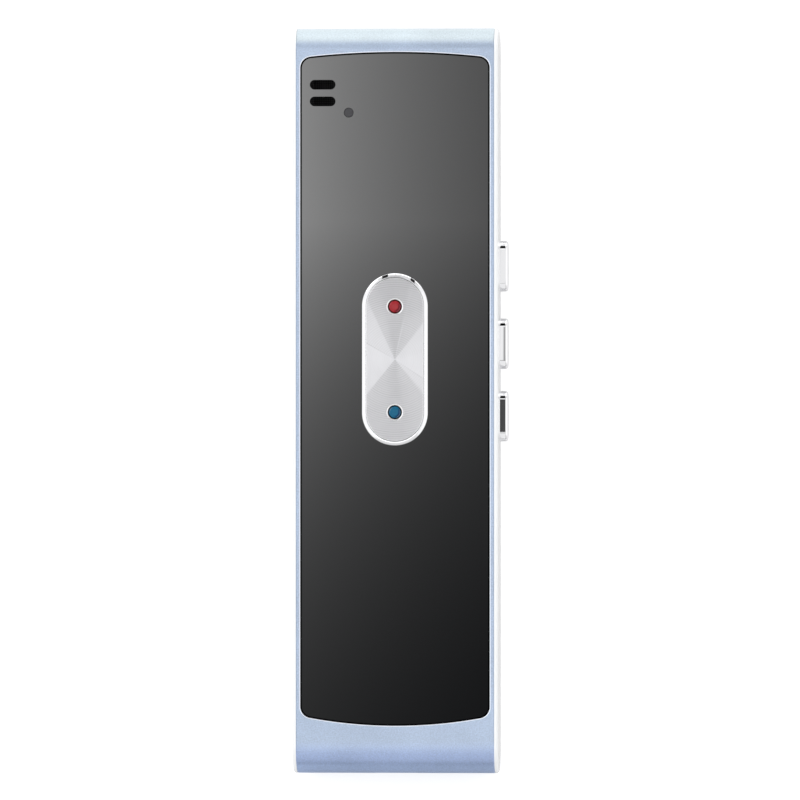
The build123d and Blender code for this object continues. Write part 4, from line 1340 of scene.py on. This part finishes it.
class TRANSLATOR_OT_stage(bpy.types.Operator):
    """Sets the floor, the light dome, the key light and the camera."""

    bl_idname = "translator.stage"
    bl_label = "Stage"

    def execute(self, context):
        stage = context.scene.translator_stage
        context.scene.view_settings.view_transform = "Standard"
        self.floor()
        self.dome(context.scene, stage)
        self.key_light(context.scene, stage)
        self.camera(context.scene, stage)
        return {"FINISHED"}

    def floor(self):
        """Wide pale floor that looks white and keeps the shadow."""
        material, wiring, place = new_finish("floor white")
        paint = wiring.signal("ShaderNodeBsdfDiffuse", inputs={"Color": FLOOR_PAINT})
        rays = wiring.node("ShaderNodeLightPath").outputs
        camera, glossy, through = (
            Signal(wiring, rays[f"Is {kind} Ray"]) for kind in ("Camera", "Glossy", "Transmission")
        )
        parts = wiring.split(place)
        glows = [wiring.fade(parts[axis], *change) for axis, *change in FLOOR_GLOWS]
        mirrored = glossy * reduce(wiring.larger, glows)
        strength = wiring.larger(wiring.larger(camera, through) * FLOOR_SEEN, mirrored)
        glow = wiring.signal("ShaderNodeEmission", inputs={"Strength": strength})
        both = wiring.signal("ShaderNodeAddShader", inputs={0: paint, 1: glow})
        wiring.node("ShaderNodeOutputMaterial", {"Surface": both})
        work = bmesh.new()
        corners = laid(rectangle(-FLOOR_REACH, -FLOOR_REACH, FLOOR_REACH, FLOOR_REACH), UP, 0.0)
        work.faces.new([work.verts.new(corner) for corner in corners])
        floor = new_piece("floor", work, [material])

    def dome(self, scene, stage):
        """Soft white light dome: brighter at the sides, with a graded patch over the front panel."""
        scene.world = bpy.data.worlds.new("light dome")
        wiring = Wiring(scene.world)
        x, y, z = wiring.split(wiring.place("Generated"))
        rise = wiring.larger(z, 0.02)
        u = x / rise
        v = y / rise
        turn = wiring.math("ABSOLUTE", y) / wiring.larger(wiring.length(x, y), 0.0001)
        level = wiring.fade(turn, *DOME_TURN, stage.dome_sides, stage.dome_ends)
        for start, end, gain in DOME_GAINS:
            level = level + wiring.fade(y, start, end, 0.0, gain)
        for start, end, share in DOME_LOSSES:
            level = level * wiring.fade(y, start, end, share, 1.0)
        level = wiring.blend(self.patch_mask(wiring, u, v), level, self.patch_level(wiring, u, v))
        level = self.dark_panels(wiring, x, y, z, level)
        level = self.over_buttons(wiring, x, u, v, level)
        level = wiring.blend(wiring.fade(z, -0.02, 0.02), DOME_BELOW, level)
        glow = wiring.signal("ShaderNodeBackground", inputs={"Color": WHITE, "Strength": level})
        wiring.node("ShaderNodeOutputWorld", {"Surface": glow})

    def dark_panels(self, wiring, x, y, z, level):
        """Dome's level with the two dark panels in it."""
        beside = x - PANEL_START
        between = wiring.fade(wiring.length(beside, y), *PANEL_ZENITH) * wiring.fade(z, *PANEL_HORIZON)
        azimuth = wiring.math("DEGREES", wiring.math("ARCTAN2", beside, y))
        for left, right in DARK_PANELS:
            level = wiring.blend(wiring.band(azimuth, left, right, 0.5) * between, level, DARK_LEVEL)
        return level

    def over_buttons(self, wiring, x, u, v, level):
        """Dome's level with what the polished side buttons mirror in it."""
        clear = wiring.fade(wiring.math("ABSOLUTE", v), *STRIP_GAP)
        marked = wiring.blend(wiring.band(v, *MARK_ENDS, 0.04), STRIP_LEVEL, MARK_LEVEL)
        level = wiring.blend(wiring.band(x, *STRIP_SIDES, SHARP) * clear, level, marked)
        edge = wiring.fade(u, *FACE_EDGE)
        upper = wiring.blend(edge, *UPPER_FACE)
        middle = wiring.blend(edge, *MIDDLE_FACE) * wiring.fade(u, *MIDDLE_FALL)
        lower = wiring.fade(u, *LOWER_FACE)
        below, first, second = (wiring.fade(v, *step) for step in FACE_STEPS)
        faces = wiring.blend(second, wiring.blend(first, lower, middle), upper)
        mask = wiring.band(u, *FACES_ACROSS, SHARP) * wiring.band(v, *FACES_ALONG, 10 * SHARP)
        return wiring.blend(mask, level, wiring.blend(below, STRIP_LEVEL, faces))

    def patch_mask(self, wiring, u, v):
        """Where the graded patch covers the dome, straight over the front."""
        reach = wiring.length((u - PATCH_CENTRE) / PATCH_HALF_WIDTH, v / PATCH_HALF_LENGTH)
        return wiring.fade(reach, *PATCH_EDGE, 1.0, 0.0)

    def patch_level(self, wiring, u, v):
        """Level of the graded patch, which fades to the right and downwards."""
        right = wiring.larger(u, PATCH_LEFT) - PATCH_MIDDLE
        down = wiring.larger(wiring.math("SUBTRACT", PATCH_TOP, v), 0.0)
        downwards = wiring.math("MULTIPLY_ADD", right, PATCH_LOSS_BOTH, PATCH_LOSS_DOWN) * down
        loss = wiring.math("MULTIPLY_ADD", right, PATCH_LOSS_RIGHT, downwards)
        return wiring.math("EXPONENT", loss * -1.0) * PATCH_LEVEL

    def key_light(self, scene, stage):
        """Soft square light from beyond the upper left."""
        light = bpy.data.lights.new("key light", "AREA")
        light.shape = "SQUARE"
        light.size = KEY_LIGHT_SIZE
        light.energy = stage.key_power
        lamp = bpy.data.objects.new("key_light", light)
        lamp.location = KEY_LIGHT_PLACE
        lamp.rotation_euler = (-lamp.location).to_track_quat("-Z", "Y").to_euler()
        scene.collection.objects.link(lamp)

    def camera(self, scene, stage):
        """Long camera over the front, turned a little towards the side buttons."""
        lens = bpy.data.cameras.new("camera")
        lens.sensor_width = 36.0
        lens.lens = lens.sensor_width * stage.distance / stage.view_width
        lens.clip_start = 0.01
        lens.clip_end = 50.0
        camera = bpy.data.objects.new("camera", lens)
        target = Vector((stage.side_shift, stage.end_shift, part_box("sleeve")[1].z))
        camera.location = target + stage.distance * Vector((math.sin(stage.yaw), 0.0, math.cos(stage.yaw)))
        camera.rotation_euler = (0.0, stage.yaw, 0.0)
        scene.collection.objects.link(camera)
        scene.camera = camera


# --- Sidebar and registration ---

PIECES = (
    TRANSLATOR_OT_sleeve,
    TRANSLATOR_OT_side_caps,
    TRANSLATOR_OT_front_panel,
    TRANSLATOR_OT_bezel_ring,
    TRANSLATOR_OT_talk_plate,
    TRANSLATOR_OT_jewels,
    TRANSLATOR_OT_side_buttons,
    TRANSLATOR_OT_indicator_lens,
    TRANSLATOR_OT_meshes,
    TRANSLATOR_OT_charging_socket,
    TRANSLATOR_OT_snap_domes,
    TRANSLATOR_OT_inner_parts,
    TRANSLATOR_OT_stage,
)
SIZES = {
    "translator_body": TranslatorBody,
    "translator_panel": TranslatorPanelSizes,
    "translator_talk_key": TranslatorTalkKey,
    "translator_buttons": TranslatorButtons,
    "translator_finish": TranslatorFinish,
    "translator_stage": TranslatorStage,
}


class TRANSLATOR_PT_sidebar(bpy.types.Panel):
    """Lists the pieces and the sizes that they are built from."""

    bl_idname = "TRANSLATOR_PT_sidebar"
    bl_label = "Handheld Translator"
    bl_space_type = "VIEW_3D"
    bl_region_type = "UI"
    bl_category = "Translator"

    def draw(self, context):
        for piece in PIECES:
            self.layout.operator(piece.bl_idname)
        for name, group in SIZES.items():
            column = self.layout.box().column()
            column.label(text=group.__doc__)
            for field in group.__annotations__:
                column.prop(getattr(context.scene, name), field)


CLASSES = tuple(SIZES.values()) + PIECES + (TRANSLATOR_PT_sidebar,)


def register():
    """Makes the pieces and their sizes known to Blender."""
    for item in CLASSES:
        bpy.utils.register_class(item)
    for name, group in SIZES.items():
        setattr(bpy.types.Scene, name, PointerProperty(type=group))


def unregister():
    """Takes them out again."""
    for name in SIZES:
        delattr(bpy.types.Scene, name)
    for item in reversed(CLASSES):
        bpy.utils.unregister_class(item)


def main():
    """Builds every piece in order."""
    register()
    for piece in PIECES:
        group, name = piece.bl_idname.split(".")
        getattr(getattr(bpy.ops, group), name)()


if __name__ == "__main__":
    main()
